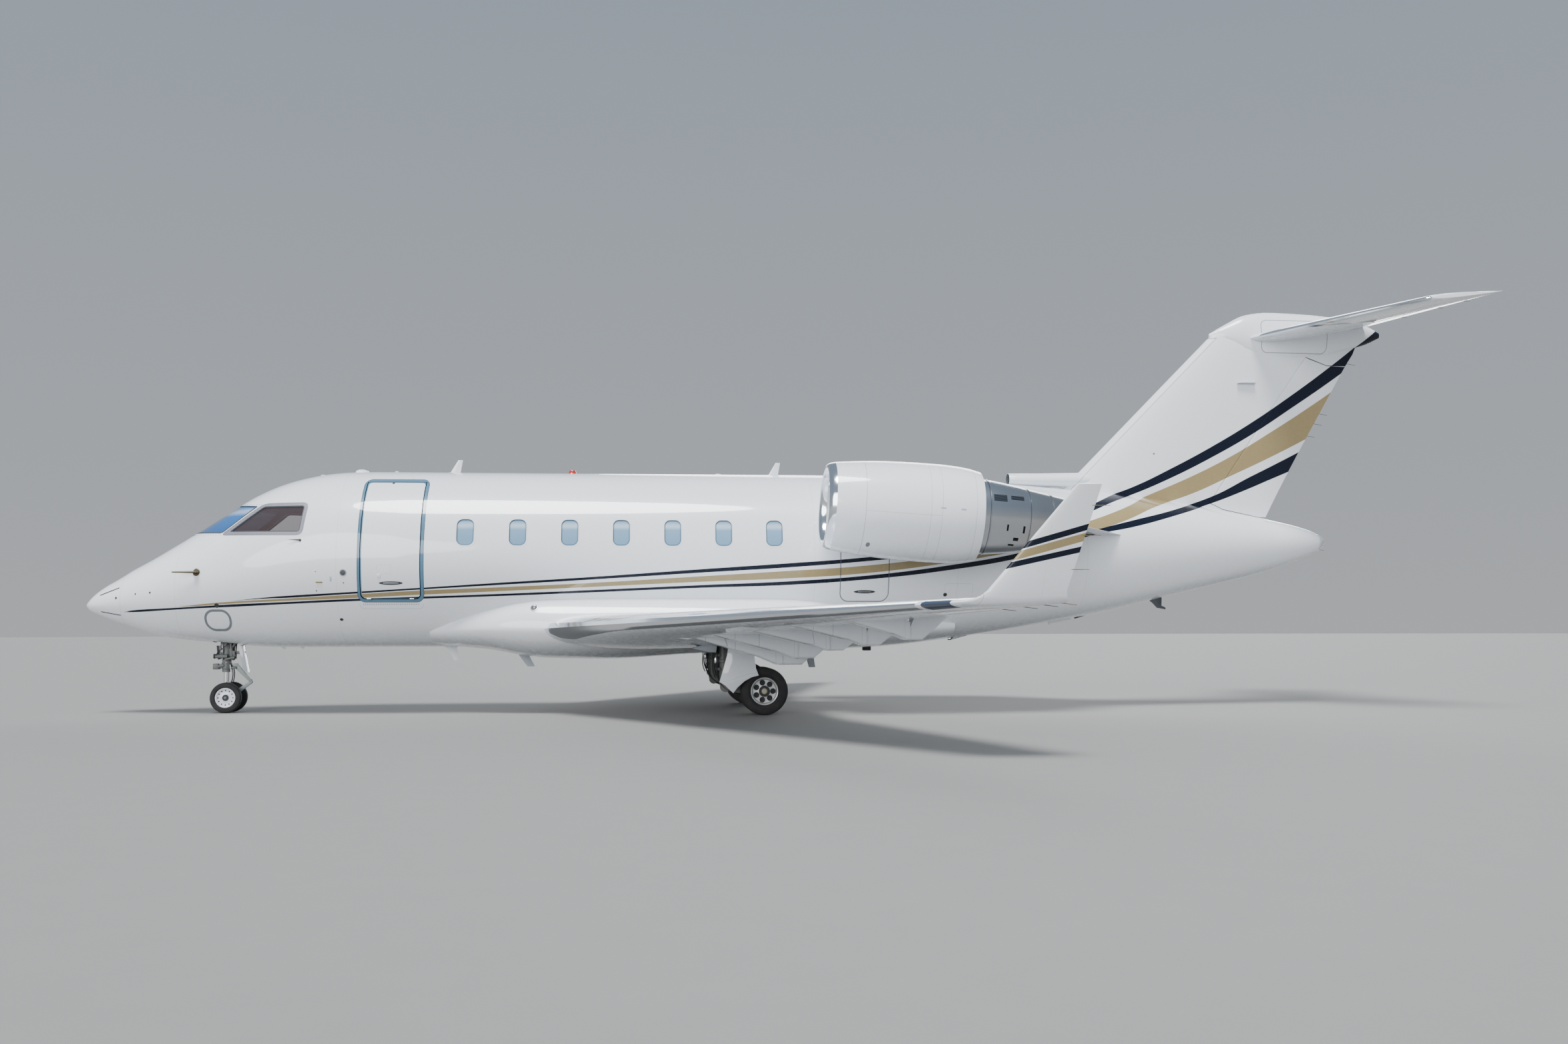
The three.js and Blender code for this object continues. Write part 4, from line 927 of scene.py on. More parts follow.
cockpitSkin = hullShell(cockpitFront, cabinFront)
for name in cockpitGlass:
    cockpitSkin = carved(cockpitSkin, cockpitCutter(name, 0.0), rim=2)
wheelBay = block((1.89, -0.19, 0.8), (2.33, 0.19, 1.29))
cockpitSkin = carved(cockpitSkin, wheelBay, rim=2)
piece("cockpitSkin", "airframe", ["cockpit_shell"], "white_paint", ["hull", "cockpitLining", "seal"], cockpitSkin)

cabinSkin = hullShell(cabinFront, cabinRear)
for cutter in (windowCutters(0.0), entranceCutter(entrance["gap"])):
    cabinSkin = carved(cabinSkin, cutter, rim=2)
rearSkin = hullShell(cabinRear, rearEnd)
lined = ["hull", "lining", "seal"]
piece("cabinSkin", "airframe", ["cabin_shell", "overwing_exit"], "white_paint", lined, cabinSkin)
piece("rearSkin", "airframe", ["rear_fuselage", "baggage_door"], "white_paint", lined, rearSkin)
tailRings = hullRings(spaced(rearEnd, coneEnd, hull["step"]))
tailRings += hullRings([coneEnd + 0.31 * (1 - (1 - k / 8) ** 1.7) for k in range(1, 9)])
piece("tailSkin", "airframe", ["tail_cone"], "white_paint", ["hull"], skinned(tailRings), 50)

# Panes, and the metal frames round them
for word, side in (("Left", -1), ("Right", 1)):
    span = sorted((side * 0.85, side * hull["clear"]))
    panes = common(hullShell(*layers["cabinPane"]), windowCutters(-0.001, *span))
    piece("cabinPanes" + word, "airframe", ["cabin_windows_" + word.lower()], "glazing", ["pane"], panes)
lips = common(hullShell(*layers["cabinLip"]), windowCutters(0.013))
lips = carved(lips, windowCutters(-0.006))
piece("windowLips", "airframe", [], "white_paint", ["white"], lips)

for label, name, node, paint in (
    ("windscreens", "screen", "windscreen_", "screen"), ("sideWindows", "side", "side_window_", "sidePane"),
):
    panes = common(hullShell(*layers["cockpitPane"]), cockpitCutter(name, -0.001))
    piece(label, "airframe", [node + "left", node + "right"], "glazing", [paint], panes)
frames = []
for name in cockpitGlass:  # metal ring, seal and screws
    for number, layer, outer, inner in ((0, "ring", 0.042, -0.008), (1, "seal", -0.008, -0.022)):
        ring = common(hullShell(*layers[layer]), cockpitCutter(name, outer))
        frames.append(tinted(carved(ring, cockpitCutter(name, inner)), number))
for outline, _ in cockpitGlass.values():
    path = grown(outline, screws["inset"])
    for start, end in zip(path, path[1:] + path[:1]):
        count = int((Vector(end) - Vector(start)).length / screws["pitch"])
        for k in range(count):
            x, z = Vector(start).lerp(Vector(end), (k + 0.5) / count)
            reach = hullSide(x, z)
            if reach < screws["clear"]:  # on the post in the middle
                continue
            for side in (-1, 1):
                dot = bmesh.new()
                bmesh.ops.create_icosphere(dot, subdivisions=1, radius=screws["radius"])
                frames.append(tinted(shifted(dot, x, side * (reach + 0.002), z), 2))
piece("glazingFrames", "airframe", [], "polished_metal", ["frame", "seal", "darkMetal"], together(*frames), 40)
print("fuselage done")

belly = skinned([sectionRing(fairingSections, at) for at in spaced(5.18, 13.15, 0.12)])
piece("bellyFairing", "airframe", ["belly_fairing"], "white_paint", ["white"], belly)

# Entrance door: skin, treads, hinge knuckles, handle and latch
parts = [common(hullShell(4.1, 5.3), entranceCutter(0.0), rim=2)]
thick = treads["thick"]
for k in range(treads["count"]):
    height = treads["foot"] + k * treads["rise"]
    across = math.sqrt(treads["radius"] ** 2 - (height - treads["middle"]) ** 2) + 0.03
    y = -across + treads["reach"] * math.cos(treads["slope"])
    z = height + treads["reach"] * math.sin(treads["slope"])
    tread = [(-across, height), (y, z), (y, z + thick), (-across, height + thick)]
    strip = [(y - 0.02, z + 0.022), (y + 0.003, z + 0.004), (y + 0.003, z + 0.037), (y - 0.02, z + 0.04)]
    parts += drawn(slab, (3, tread, "x", *treads["span"], 0.0, 0.006), (4, strip, "x", *treads["strip"], 0.0, 0.002))
y, z = entrance["hinge"]
for start, end in ((4.335, 4.395), (4.949, 5.009)):
    parts += drawn(rod, (4, (start, y, z), (end, y, z), 0.011))
bar = block((-0.11, -0.007, 0), (0.11, 0.007, 0.004), 0.002)
latch = block((-0.026, -0.03, -0.004), (0.026, 0.03, 0.006), 0.004)
parts.append(onSkin(together(tinted(button(0.028, 0.002, 6.1, 40), 5), tinted(bar, 4)), 4.684, 1.921))
parts.append(onSkin(tinted(latch, 6), 4.515, 2.026))
paints = [*lined, "carpet", "trim", "darkMetal", "white"]
piece("entranceDoor", "passenger_door", ["passenger_door"], "white_paint", paints, together(*parts))
print("door done")

# Wings

wingSections = [  # y, leading edge x, leading edge z, chord, thickness share, incidence, cant
    (1.3, 6.846, 1.253, 4.03, 0.125, 2.0, 0), (3.4, 8.006, 1.316, 2.95, 0.115, 1.5, 0),
    (6.3, 9.607, 1.402, 2.035, 0.108, 0.7, 0), (9.3, 11.262, 1.491, 1.085, 0.1, 0, 0),
    (9.42, 11.35, 1.502, 0.985, 0.095, 0, 12), (9.49, 11.44, 1.536, 0.87, 0.09, 0, 48),
    (9.525, 11.525, 1.6, 0.77, 0.085, 0, 74), (9.788, 12.335, 2.592, 0.236, 0.08, 0, 76),
]
tailplaneSections = [
    (0.0, 18.198, 5.99, 2.06, 0.095, -6.5, 0), (3.0, 19.617, 6.016, 1.207, 0.09, -6.5, 0),
    (3.08, 19.675, 6.02, 1.165, 0.08, -6.5, 0), (3.108, 19.76, 6.028, 1.097, 0.045, -6.5, 0),
]
surfaces = {  # start, end, hinge line as a share of the chord, cut back of the lower lip
    "flapInboard": (1.59, 3.33, 0.76, 0.085), "flapOutboard": (3.47, 7.12, 0.75, 0.064),
    "aileron": (7.29, 9.04, 0.75, 0.02), "elevator": (0.34, 2.96, 0.68, 0.016),
}
surfaceGap = 0.008
regionReach = (1.6, 0.6)  # aft of the hinge, and above and below it
fairing = {
    "flapInboard": [(3.19, 0.49)],  # place along the span, depth below the hinge line
    "flapOutboard": [(3.8, 0.422), (4.75, 0.345), (5.74, 0.313), (6.78, 0.283)],
    "half": 0.075, "wall": 0.012, "seam": -0.015, "round": 0.028,
}
chordSteps = 15
noseSteps = 12


def halfThickness(share):
    powers = 0.2969 * math.sqrt(share) - 0.126 * share - 0.3516 * share**2 + 0.2843 * share**3 - 0.1 * share**4
    return 5 * powers


def aerofoil(nose, chord, thick, incidence=0.0, cant=0.0, upright=False):
    a, c = math.radians(incidence), math.radians(cant)
    aft = Vector((math.cos(a), 0, -math.sin(a)))
    up = Vector((0, 1, 0)) if upright else Vector((math.sin(a) * math.cos(c), -math.sin(c), math.cos(a) * math.cos(c)))
    shares = [(1 - math.cos(math.pi * k / chordSteps)) / 2 for k in range(1, chordSteps + 1)]

    def point(share, side):
        return Vector(nose) + aft * share * chord + up * side * max(halfThickness(share), 0.0008) * thick * chord

    return [Vector(nose)] + [point(s, 1) for s in shares] + [point(s, -1) for s in reversed(shares)]


def spanRing(row):
    y, x, z, chord, thick, incidence, cant = row
    return aerofoil((x, y, z), chord, thick, incidence, cant)


def between(rows, y):  # straight-line row at a place along the span
    i = 0
    while i < len(rows) - 2 and rows[i + 1][0] < y:
        i += 1
    return blend(rows[i], rows[i + 1], (y - rows[i][0]) / (rows[i + 1][0] - rows[i][0]))


def onChord(rows, y, share=1.0):  # a point of the chord line, and the wing's half thickness there
    _, x, z, chord, thick, incidence, _ = between(rows, y)
    a = math.radians(incidence)
    place = Vector((x + share * chord * math.cos(a), y, z - share * chord * math.sin(a)))
    return place, halfThickness(share) * thick * chord


def hingeFrame(rows, y0, y1, share):
    start, first = onChord(rows, y0, share)
    end, last = onChord(rows, y1, share)
    along = (end - start).normalized()
    aft = along.cross(Vector((0, 0, 1))).normalized()
    turn = Matrix((aft, along, aft.cross(along))).transposed().to_4x4()
    return start, along, (end - start).length, Matrix.Translation(start) @ turn, first, last


def hingeRegion(length, first, last, gap):  # what moves, in the hinge's own frame
    aft, tall = regionReach
    rings = []
    for y, half in ((-gap, first), (length + gap, last)):
        radius = half + 0.002 + gap
        arc = [math.radians(90 + 180 * k / noseSteps) for k in range(noseSteps + 1)]
        nose = [Vector((radius * math.cos(a), y, radius * math.sin(a))) for a in arc]
        above, below = [Vector((x, y, tall)) for x in (aft, 0)], [Vector((x, y, -tall)) for x in (0, aft)]
        rings.append([*above, *nose, *below])
    return skinned(rings)


def split(whole, rows, name):  # the moving surface and what is left of the wing
    y0, y1, share, relief = surfaces[name]
    start, along, length, place, first, last = hingeFrame(rows, y0, y1, share)
    moving = common(whole.copy(), moved(hingeRegion(length, first, last, 0.0), place))
    lip = block((-relief, -surfaceGap, -regionReach[1]), (0.001, length + surfaceGap, -0.3 * last))
    fixed = whole
    for cutter in (hingeRegion(length, first, last, surfaceGap), lip):
        fixed = carved(fixed, moved(cutter, place), rim=1)
    for y, depth in fairing.get(name, []):
        _, half = onChord(rows, y, share)
        shell, tail = hingeFairing((y - start.y) / along.y, depth, between(rows, y)[3], half, share)
        fixed = carved(fixed, moved(shell, place), "UNION")
        moving = carved(moving, moved(tail, place), "UNION")
    return moving, fixed


def keeled(points, place, reach):  # a plate with its lower edges rounded
    shape = plate(points, place - reach, place + reach)
    upright = [f for f in shape.faces if abs(f.normal.y) > 0.9]
    low = [e for f in upright for e in f.edges if any(g.normal.z < -0.2 for g in e.link_faces)]
    return softened(shape, low, fairing["round"], 5)


def hingeFairing(place, depth, chord, half, share):  # its fixed shell and its tail on the flap
    seam, trailing = fairing["seam"], 0.95 * (1 - share) * chord
    inner = fairing["half"] - fairing["wall"]
    shell = [
        (-0.41 * chord, -0.02), (-0.41 * chord, -0.04 * chord), (-0.115 * chord, -0.77 * depth),
        (-0.027 * chord, -depth), (seam, -depth), (seam, -1.42 * half - 0.015),
        (-half - 0.012, -0.75 * half - 0.01), (-half - 0.012, -0.02),
    ]
    tail = [
        (-0.04, -depth), (-0.04, 0.06 - depth), (0.02, -half - 0.04), (0.06, -half / 2), (trailing - 0.01, -0.003),
        (trailing + 0.03 * chord, -0.01 * chord), (0.55 * depth, -depth),
    ]
    slot = plate(rectangle(-0.88 * depth, 0, -depth - 0.01, -half - 0.008), place - inner, place + inner)
    return carved(keeled(shell, place, fairing["half"]), slot, rim=0), keeled(tail, place, inner - surfaceGap)


def wingRows():
    rows = [blend(*wingSections[part:part + 2], k, 8) for part in range(3) for k in range(8)]
    bend = [(k, *row) for k, row in enumerate(wingSections[3:])]
    rows += [tableAt(bend, k / 6) for k in range(19)]
    return rows + [blend(*wingSections[6:], k, 6) for k in range(1, 7)]


wing = skinned([spanRing(row) for row in wingRows()])
flapParts = {}
for name, node in (("flapInboard", "flap_inboard_*"), ("flapOutboard", "flap_outboard_*"), ("aileron", "aileron_*")):
    flapParts[name, node], wing = split(wing, wingSections, name)
legRoom = block((9.4, 1.47, 0.6), (9.73, 1.72, 1.19))
wing = carved(wing, legRoom, rim=1)
pair("wing", "airframe", ["wing_*"], "wing_paint", ["wing", "seal"], wing)
for (name, node), shape in flapParts.items():
    pair(name, node, [node], "wing_paint", ["wing"], shape)
print("wings done")

# Tail

finSections = [  # z, leading edge x, chord, thickness share
    (3.05, 14.68, 3.85, 0.1), (3.5, 15.13, 3.64, 0.1), (5.56, 17.18, 2.79, 0.1), (5.9, 17.52, 2.655, 0.1),
    (6.06, 17.679, 2.3, 0.1),
]
finTip = [
    (17.64, 6.078, 6.02, 0.014, 6.05), (17.9, 6.228, 5.9, 0.105, 6.04), (18.26, 6.402, 5.655, 0.165, 6.03),
    (18.62, 6.454, 5.59, 0.182, 6.03), (19.3, 6.432, 5.67, 0.182, 6.05), (19.9, 6.372, 5.82, 0.16, 6.09),
    (20.35, 6.262, 5.95, 0.105, 6.1), (20.58, 6.15, 6.06, 0.03, 6.105),
]
rudderHinge = {"foot": Vector((17.56, 0, 3.27)), "head": Vector((19.293, 0, 5.683)), "radii": (0.104, 0.082)}
rudderGap = 0.012
scoopRings = [  # station, middle height, half width, half height
    (14.212, 3.64, 0.118, 0.092), (14.33, 3.63, 0.15, 0.105), (14.7, 3.625, 0.155, 0.112), (15.2, 3.63, 0.145, 0.118),
    (15.7, 3.64, 0.12, 0.12),
]

tailRows = [between(tailplaneSections, 3.0 * k / 12) for k in range(12)] + tailplaneSections[1:]
elevator, tailHalf = split(skinned([spanRing(row) for row in tailRows]), tailplaneSections, "elevator")
tailplane = together(tailHalf, mirrored(tailHalf))
piece("tailplane", "airframe", ["tailplane"], "white_paint", ["tail", "seal"], tailplane)
pair("elevator", "elevator_*", ["elevator_*"], "white_paint", ["tail"], elevator)


def finRing(z):
    x, chord, thick = tableAt(finSections, z)
    return aerofoil((x, 0, z), chord, thick, upright=True)


def rudderRegion(gap):
    foot, head = rudderHinge["foot"], rudderHinge["head"]
    outline = [
        (foot.x, foot.z - gap), (head.x + gap, head.z + gap), (19.64, 5.57 + gap), (20.3, 5.564 + gap),
        (19.2, 2.9 - gap), (18.7, 2.995 - gap), (17.77, 3.172 - gap),
    ]
    low, high = rudderHinge["radii"]
    axis = (head - foot).normalized()
    nose = spindle(foot - axis * gap, head + axis * gap, [(0, 0), (low + gap, 0), (high + gap, 1), (0, 1)], 32)
    return carved(plate(outline, -0.5, 0.5), nose, "UNION")


fin = skinned([finRing(z) for z in spaced(3.05, 6.06, 0.15)])
tipPlaces = [17.64 + 0.26 * (k / 6) ** 1.5 for k in range(6)] + spaced(17.9, 20.35, 0.1) + [20.43, 20.5, 20.55, 20.58]
bullet = skinned([sectionRing(finTip, at, 0, 40) for at in tipPlaces])
rudder = common(fin.copy(), rudderRegion(0.0))
rudder = carved(rudder, solidHull(13.9, 19.4, 0.008, 0.2))
fin = carved(fin, rudderRegion(rudderGap), rim=1)
bullet = carved(bullet, rudderRegion(rudderGap))
rings = [
    [Vector((x, across * math.sin(t), z + tall * math.cos(t))) for t in circle(32)]
    for x, z, across, tall in scoopRings
]
middle = scoopRings[0][1]
mouth, deep = [  # the hollow of the scoop
    [Vector((x + aft, y * wide, middle + (z - middle) * tall)) for x, y, z in rings[0]]
    for aft, wide, tall in ((0.03, 0.86, 0.84), (0.22, 0.7, 0.7))
]
intake = skinned([deep, mouth, *rings], [1, 1] + [0] * 4)
piece("fin", "airframe", ["fin"], "white_paint", ["fin", "seal"], together(fin, bullet, intake), 38)
piece("rudder", "rudder", ["rudder"], "white_paint", ["fin"], rudder)
print("tail done")

# Engines, drawn round their own axis from the inlet's plane

droop = math.radians(engine["droop"])
seat = Matrix.Translation(engine["place"]) @ Matrix.Rotation(droop, 4, "Y")
nacelle = {  # radius, and place along the axis
    "lip": [
        (0.505, 0.11), (0.509, 0.075), (0.519, 0.042), (0.532, 0.018), (0.548, 0.004), (0.565, 0.0), (0.583, 0.006),
        (0.602, 0.022), (0.62, 0.058), (0.634, 0.11), (0.62, 0.11), (0.52, 0.11),
    ],
    "cowl": [
        (0.634, 0.1105), (0.648, 0.21), (0.66, 0.33), (0.678, 0.5), (0.693, 0.68), (0.7035, 0.86), (0.711, 1.08),
        (0.716, 1.32), (0.717, 1.56), (0.612, 1.56), (0.585, 1.2), (0.566, 0.8), (0.566, 0.52), (0.54, 0.36),
        (0.518, 0.22), (0.505, 0.1105),
    ],
    "sleeve": [
        (0.717, 1.5603), (0.715, 1.72), (0.703, 1.92), (0.683, 2.08), (0.648, 2.232), (0.638, 2.232),
        (0.634, 2.1), (0.622, 1.85), (0.612, 1.5603),
    ],
    "core": [
        (0.0, 1.02), (0.061, 1.02), (0.061, 0.9), (0.3, 0.9), (0.38, 1.08), (0.45, 1.3), (0.505, 1.62), (0.54, 1.95),
        (0.548, 2.2), (0.542, 2.4), (0.52, 2.58), (0.487, 2.8), (0.45, 3.0), (0.405, 3.27), (0.345, 3.62),
        (0.336, 3.62), (0.33, 3.55), (0.3, 3.43), (0.13, 3.43), (0.1, 3.52), (0.055, 3.66), (0.0, 3.76),
    ],
    "spinner": [
        (0.0, 0.4), (0.03, 0.408), (0.065, 0.432), (0.1, 0.47), (0.145, 0.54), (0.178, 0.61), (0.186, 0.68),
        (0.186, 0.76), (0.06, 0.76), (0.06, 1.01), (0.0, 1.01),
    ],
}
lip, cowl, sleeve = [turned(nacelle[name], "x", engine["sides"]) for name in ("lip", "cowl", "sleeve")]
pair("inletLip", "airframe", ["inlet_lip_*"], "polished_metal", ["polished"], moved(lip, seat))
pair("fanCowl", "airframe", ["fan_cowl_*"], "white_paint", ["cowl"], moved(cowl, seat))
sleeve = carved(sleeve, block((1.5, -0.9, -0.12), (2.4, 0.0, 0.12)))
pair("reverserSleeve", "reverser_sleeve_*", ["reverser_sleeve_*"], "white_paint", ["cowl"], moved(sleeve, seat))

vane = slab([(0.95, -0.012), (1.1, 0.03), (1.1, 0.036), (0.95, -0.004)], "z", 0.3, 0.585, edge=0.001)
vanes = repeated(tinted(vane, 1), engine["vanes"], (1, 0, 0))
details = [turned(nacelle["core"], "x", engine["sides"], closed=False), vanes]
for place, radius in ((2.34, 0.546), (2.94, 0.4615), (3.3, 0.401)):  # clamp bands
    ring = [(radius, -0.012), (radius + 0.007, -0.008), (radius + 0.007, 0.008), (radius, 0.012)]
    details.append(turned([(r, place + aft) for r, aft in ring], "x", 64))
chute = [(0.3, 3.4), (0.303, 3.44), (0.28, 3.44), (0.28, 3.4)]
details += drawn(turned, (1, chute, "x")) + drawn(tube, (1, 0.14, 0.3, 3.41, 3.432, "x", 48))
pair("engineCore", "airframe", ["engine_*"], "hot_metal", ["nozzle", "darkMetal"], moved(together(*details), seat))

fanBlade = {  # pairs are the value at the root and its change to the tip
    "steps": 6, "sides": 12, "place": 0.69, "squeeze": 0.86, "radius": (0.17, 0.383), "stagger": (30, 32),
    "chord": (0.135, 0.035), "thick": (0.006, -0.003), "camber": 0.011,
}
stations = []
for k in range(fanBlade["steps"] + 1):  # one blade, twisted from root to tip
    share = k / fanBlade["steps"]
    radius, stagger, half = [fanBlade[key][0] + fanBlade[key][1] * share for key in ("radius", "stagger", "thick")]
    stagger = math.radians(stagger)
    chord = fanBlade["chord"][0] + fanBlade["chord"][1] * math.sin(math.pi * share * 0.8)
    ring = []
    for turn in circle(fanBlade["sides"]):
        along = math.cos(turn) * chord / 2
        thick = math.sin(turn) * half + fanBlade["camber"] * (1 - math.cos(turn) ** 2)
        x = along * math.cos(stagger) - thick * math.sin(stagger)
        y = along * math.sin(stagger) + thick * math.cos(stagger)
        ring.append(Vector((fanBlade["place"] + x * fanBlade["squeeze"], y, radius)))
    stations.append(ring)
blades = repeated(tinted(skinned(stations), 1), engine["blades"], (1, 0, 0))
spinner = turned(nacelle["spinner"], "x", 56, closed=False)
pair("fan", "fan_*", ["fan_*"], "fan_metal", ["darkMetal", "blade"], moved(together(spinner, blades), seat))


def pylonRing(y, x, chord, thick):
    startX, _, startZ = engine["place"]
    return aerofoil((x, y, startZ - (x - startX) * math.tan(droop)), chord, thick, engine["droop"])


pylonEnds = ((0.9, 11.56, 4.24, 0.054), (2.18, 11.7, 2.95, 0.07))
pylon = skinned([pylonRing(*blend(*pylonEnds, k, 8)) for k in range(9)])
for outline in (
    [(0.0, 0.105), *nacelle["cowl"][:9], (0.0, 1.56)], [(0.0, 0.88), *nacelle["core"][3:15], (0.0, 3.62)],
):
    pylon = carved(pylon, moved(turned(outline, "x", engine["sides"]), seat))
pair("pylon", "airframe", ["pylon_*"], "white_paint", ["white"], pylon)
print("engines done")

# Landing gear

mainGear = {
    "leg": (9.5, 1.59), "wheel": (10.093, 0.343), "apart": 0.21, "axle": 0.05,
    "tyre": {"radius": 0.343, "half": 0.108, "bead": 0.196, "grooves": (-0.048, -0.016, 0.016, 0.048)},
    "hub": {"holes": 7, "ring": 0.126, "hole": 0.042, "cap": 0.08, "eye": 0.044, "groove": 0.171},
}
noseGear = {
    "leg": 2.06, "wheel": (2.103, 0.2285), "apart": 0.172, "axle": 0.026,
    "tyre": {"radius": 0.2285, "half": 0.056, "bead": 0.144, "grooves": (-0.024, 0.0, 0.024)},
    "hub": {"holes": 12, "ring": 0.108, "hole": 0.0105, "cap": 0.048, "eye": 0.022, "groove": 0.124},
}
mainDoor = [
    (9.572, 1.046), (9.545, 0.86), (9.49, 0.66), (9.436, 0.482), (9.52, 0.428), (9.58, 0.37), (9.636, 0.322),
    (9.7, 0.404), (9.8, 0.492), (9.9, 0.546), (10.004, 0.572), (9.962, 0.68), (9.944, 0.815), (9.936, 1.036),
]
doorHem = mainDoor[3:11] + [(9.99, 0.61), (9.86, 0.6), (9.7, 0.545), (9.56, 0.5)]
brakeStack = [  # radius, and share of its width
    (0.055, 0.0), (0.15, 0.0), (0.15, 0.2), (0.146, 0.22), (0.146, 0.32), (0.15, 0.34), (0.15, 0.66), (0.146, 0.68),
    (0.146, 0.78), (0.15, 0.8), (0.15, 1.0), (0.055, 1.0), (0.055, 0.0),
]
mainPipes = [  # radius, and points with y from the leg
    (0.011, [(9.46, -0.02, 1.17), (9.38, 0.02, 1.02), (9.4, 0.05, 0.86), (9.36, 0.03, 0.7), (9.42, 0, 0.55),
             (9.5, -0.08, 0.42)]),
    (0.009, [(9.47, 0.05, 1.17), (9.4, 0.09, 1.0), (9.43, 0.1, 0.8), (9.4, 0.1, 0.62), (9.45, 0.08, 0.46),
             (9.6, 0.075, 0.3), (9.85, 0.075, 0.27), (10.0, 0.078, 0.26)]),
    (0.009, [(9.47, -0.06, 1.17), (9.41, -0.09, 0.96), (9.44, -0.1, 0.74), (9.43, -0.09, 0.5), (9.6, -0.078, 0.31),
             (9.85, -0.075, 0.28), (10.0, -0.078, 0.26)]),
    (0.013, [(9.44, 0.02, 1.16), (9.42, 0.03, 0.95), (9.45, 0.03, 0.74), (9.43, 0.04, 0.58)]),
    (0.008, [(9.44, -0.03, 1.1), (9.35, -0.01, 0.93), (9.37, 0, 0.78), (9.34, 0, 0.64), (9.4, 0, 0.53)]),
]


def tyre(gear):  # round its own axle, across y
    radius, half, bead = [gear["tyre"][key] for key in ("radius", "half", "bead")]
    deep = radius - bead
    wall = [
        (bead, -0.62), (bead + 0.004, -0.78), (bead + 0.3 * deep, -1.0), (bead + 0.6 * deep, -0.98),
        (bead + 0.84 * deep, -0.86), (radius - 0.008, -0.74), (radius - 0.0015, -0.6),
    ]
    profile = [(r, share * half) for r, share in wall]
    foot, width = 0.98 * radius, 0.04 * half
    for at in gear["tyre"]["grooves"]:
        profile += [(radius, at - width), (foot, at - width), (foot, at + width), (radius, at + width)]
    profile += [(r, -share * half) for r, share in reversed(wall)]
    return turned(profile, "y", 72)


def wheelDisc(gear, out):  # its dished face looks towards `out`
    h, half, bead = gear["hub"], gear["tyre"]["half"], gear["tyre"]["bead"]

    def ring(number, profile, sides, closed=True):  # widths as shares of half the tyre's
        return tinted(turned([(r, share * half) for r, share in profile], "y", sides, closed), number)

    disc = ring(0, [
        (bead, 0.62), (bead + 0.006, 0.74), (bead - 0.001, 0.8), (bead - 0.012, 0.76), (bead - 0.02, 0.6),
        (bead - 0.03, 0.42), (bead * 0.45, 0.36), (bead * 0.36, 0.44), (0.02, 0.44), (0.02, -0.3), (bead * 0.5, -0.3),
        (bead - 0.03, -0.2), (bead - 0.022, -0.74), (bead + 0.006, -0.74), (bead, -0.62),
    ], 72)
    hole = pin((h["ring"], half * 0.6, 0), (h["ring"], half * -0.02, 0), h["hole"], 12)
    bolt = pin((bead * 0.86, half * 0.44, 0), (bead * 0.86, half * 0.52, 0), 0.006, 6)
    cap, eye, groove = h["cap"], h["eye"], h["groove"]
    whole = together(
        carved(disc, repeated(hole, h["holes"], (0, 1, 0)), rim=1),
        ring(1, [(cap, 0.3), (cap, 0.52), (cap * 0.9, 0.62), (eye * 0.95, 0.62), (eye * 0.95, 0.3)], 40),
        ring(1, [(groove, 0.3), (groove + 0.007, 0.3), (groove + 0.007, 0.6), (groove, 0.53)], 64),
        ring(2, [(0, 0.3), (eye, 0.3), (eye, 0.66), (eye * 0.8, 0.78), (0, 0.8)], 40, False),
        tinted(repeated(bolt, h["holes"] * 2, (0, 1, 0)), 2),
    )
    return whole if out > 0 else flipped(whole, (1, -1, 1))


def wheelSet(gear, y):  # both discs and their axle
    x, z = gear["wheel"]
    reach = gear["apart"] + 0.3 * gear["tyre"]["half"]
    discs = [shifted(wheelDisc(gear, out), x, y + out * gear["apart"], z) for out in (-1, 1)]
    return together(*discs, *drawn(rod, (2, (x, y - reach, z), (x, y + reach, z), gear["axle"], None, 32)))


def axleBore(gear, y, reach, sides):
    x, z = gear["wheel"]
    return rod((x, y - reach, z), (x, y + reach, z), gear["axle"] + 0.001, sides=sides)


x, y = mainGear["leg"]
wheelX, wheelZ = mainGear["wheel"]
arm = [(9.52, 0.34), (10.05, 0.262), (10.133, 0.265), (10.177, 0.343), (10.133, 0.421), (10.05, 0.43), (9.54, 0.47)]
arm = plate(arm, y - 0.062, y + 0.062, 0.014, 0.025)
post = [
    (0, 0), (0.078, 0), (0.078, 0.14), (0.087, 0.15), (0.087, 0.2), (0.077, 0.21), (0.075, 0.5), (0.083, 0.51),
    (0.083, 0.56), (0.074, 0.57), (0.071, 0.86), (0.079, 0.87), (0.079, 0.93), (0.07, 0.94), (0.07, 1), (0, 1),
]
legParts = [spindle((x, y, 1.19), (x + 0.03, y, 0.42), post, 40), carved(arm, axleBore(mainGear, y, 0.1, 32), rim=0)]
legParts += drawn(
    rod,
    (0, (9.54, y - 0.085, 0.4), (9.54, y + 0.085, 0.4), 0.072, None, 36),
    (1, (9.9, y, 0.4), (9.76, y, 0.7), 0.036, None, 28), (0, (9.8, y, 0.62), (9.54, y, 1.06), 0.052, None, 28),
    (0, (9.818, y, 0.59), (9.79, y, 0.637), 0.058, None, 28), (0, (9.9, y - 0.07, 0.4), (9.9, y + 0.07, 0.4), 0.03),
    (0, (9.58, y - 0.05, 1.0), (9.58, y + 0.05, 1.0), 0.05),
)
for z in (0.96, 0.56):  # arms that carry the door
    legParts.append(rod((9.52, y + 0.05, z), (9.6, 1.937, z), 0.02, 0.016, 16))
    legParts.append(block((9.56, 1.915, z - 0.06), (9.68, 1.9365, z + 0.06), 0.006))
brake = {"apart": 0.068, "width": 0.03, "ring": 0.105, "pistons": 6, "turn": 0.4}
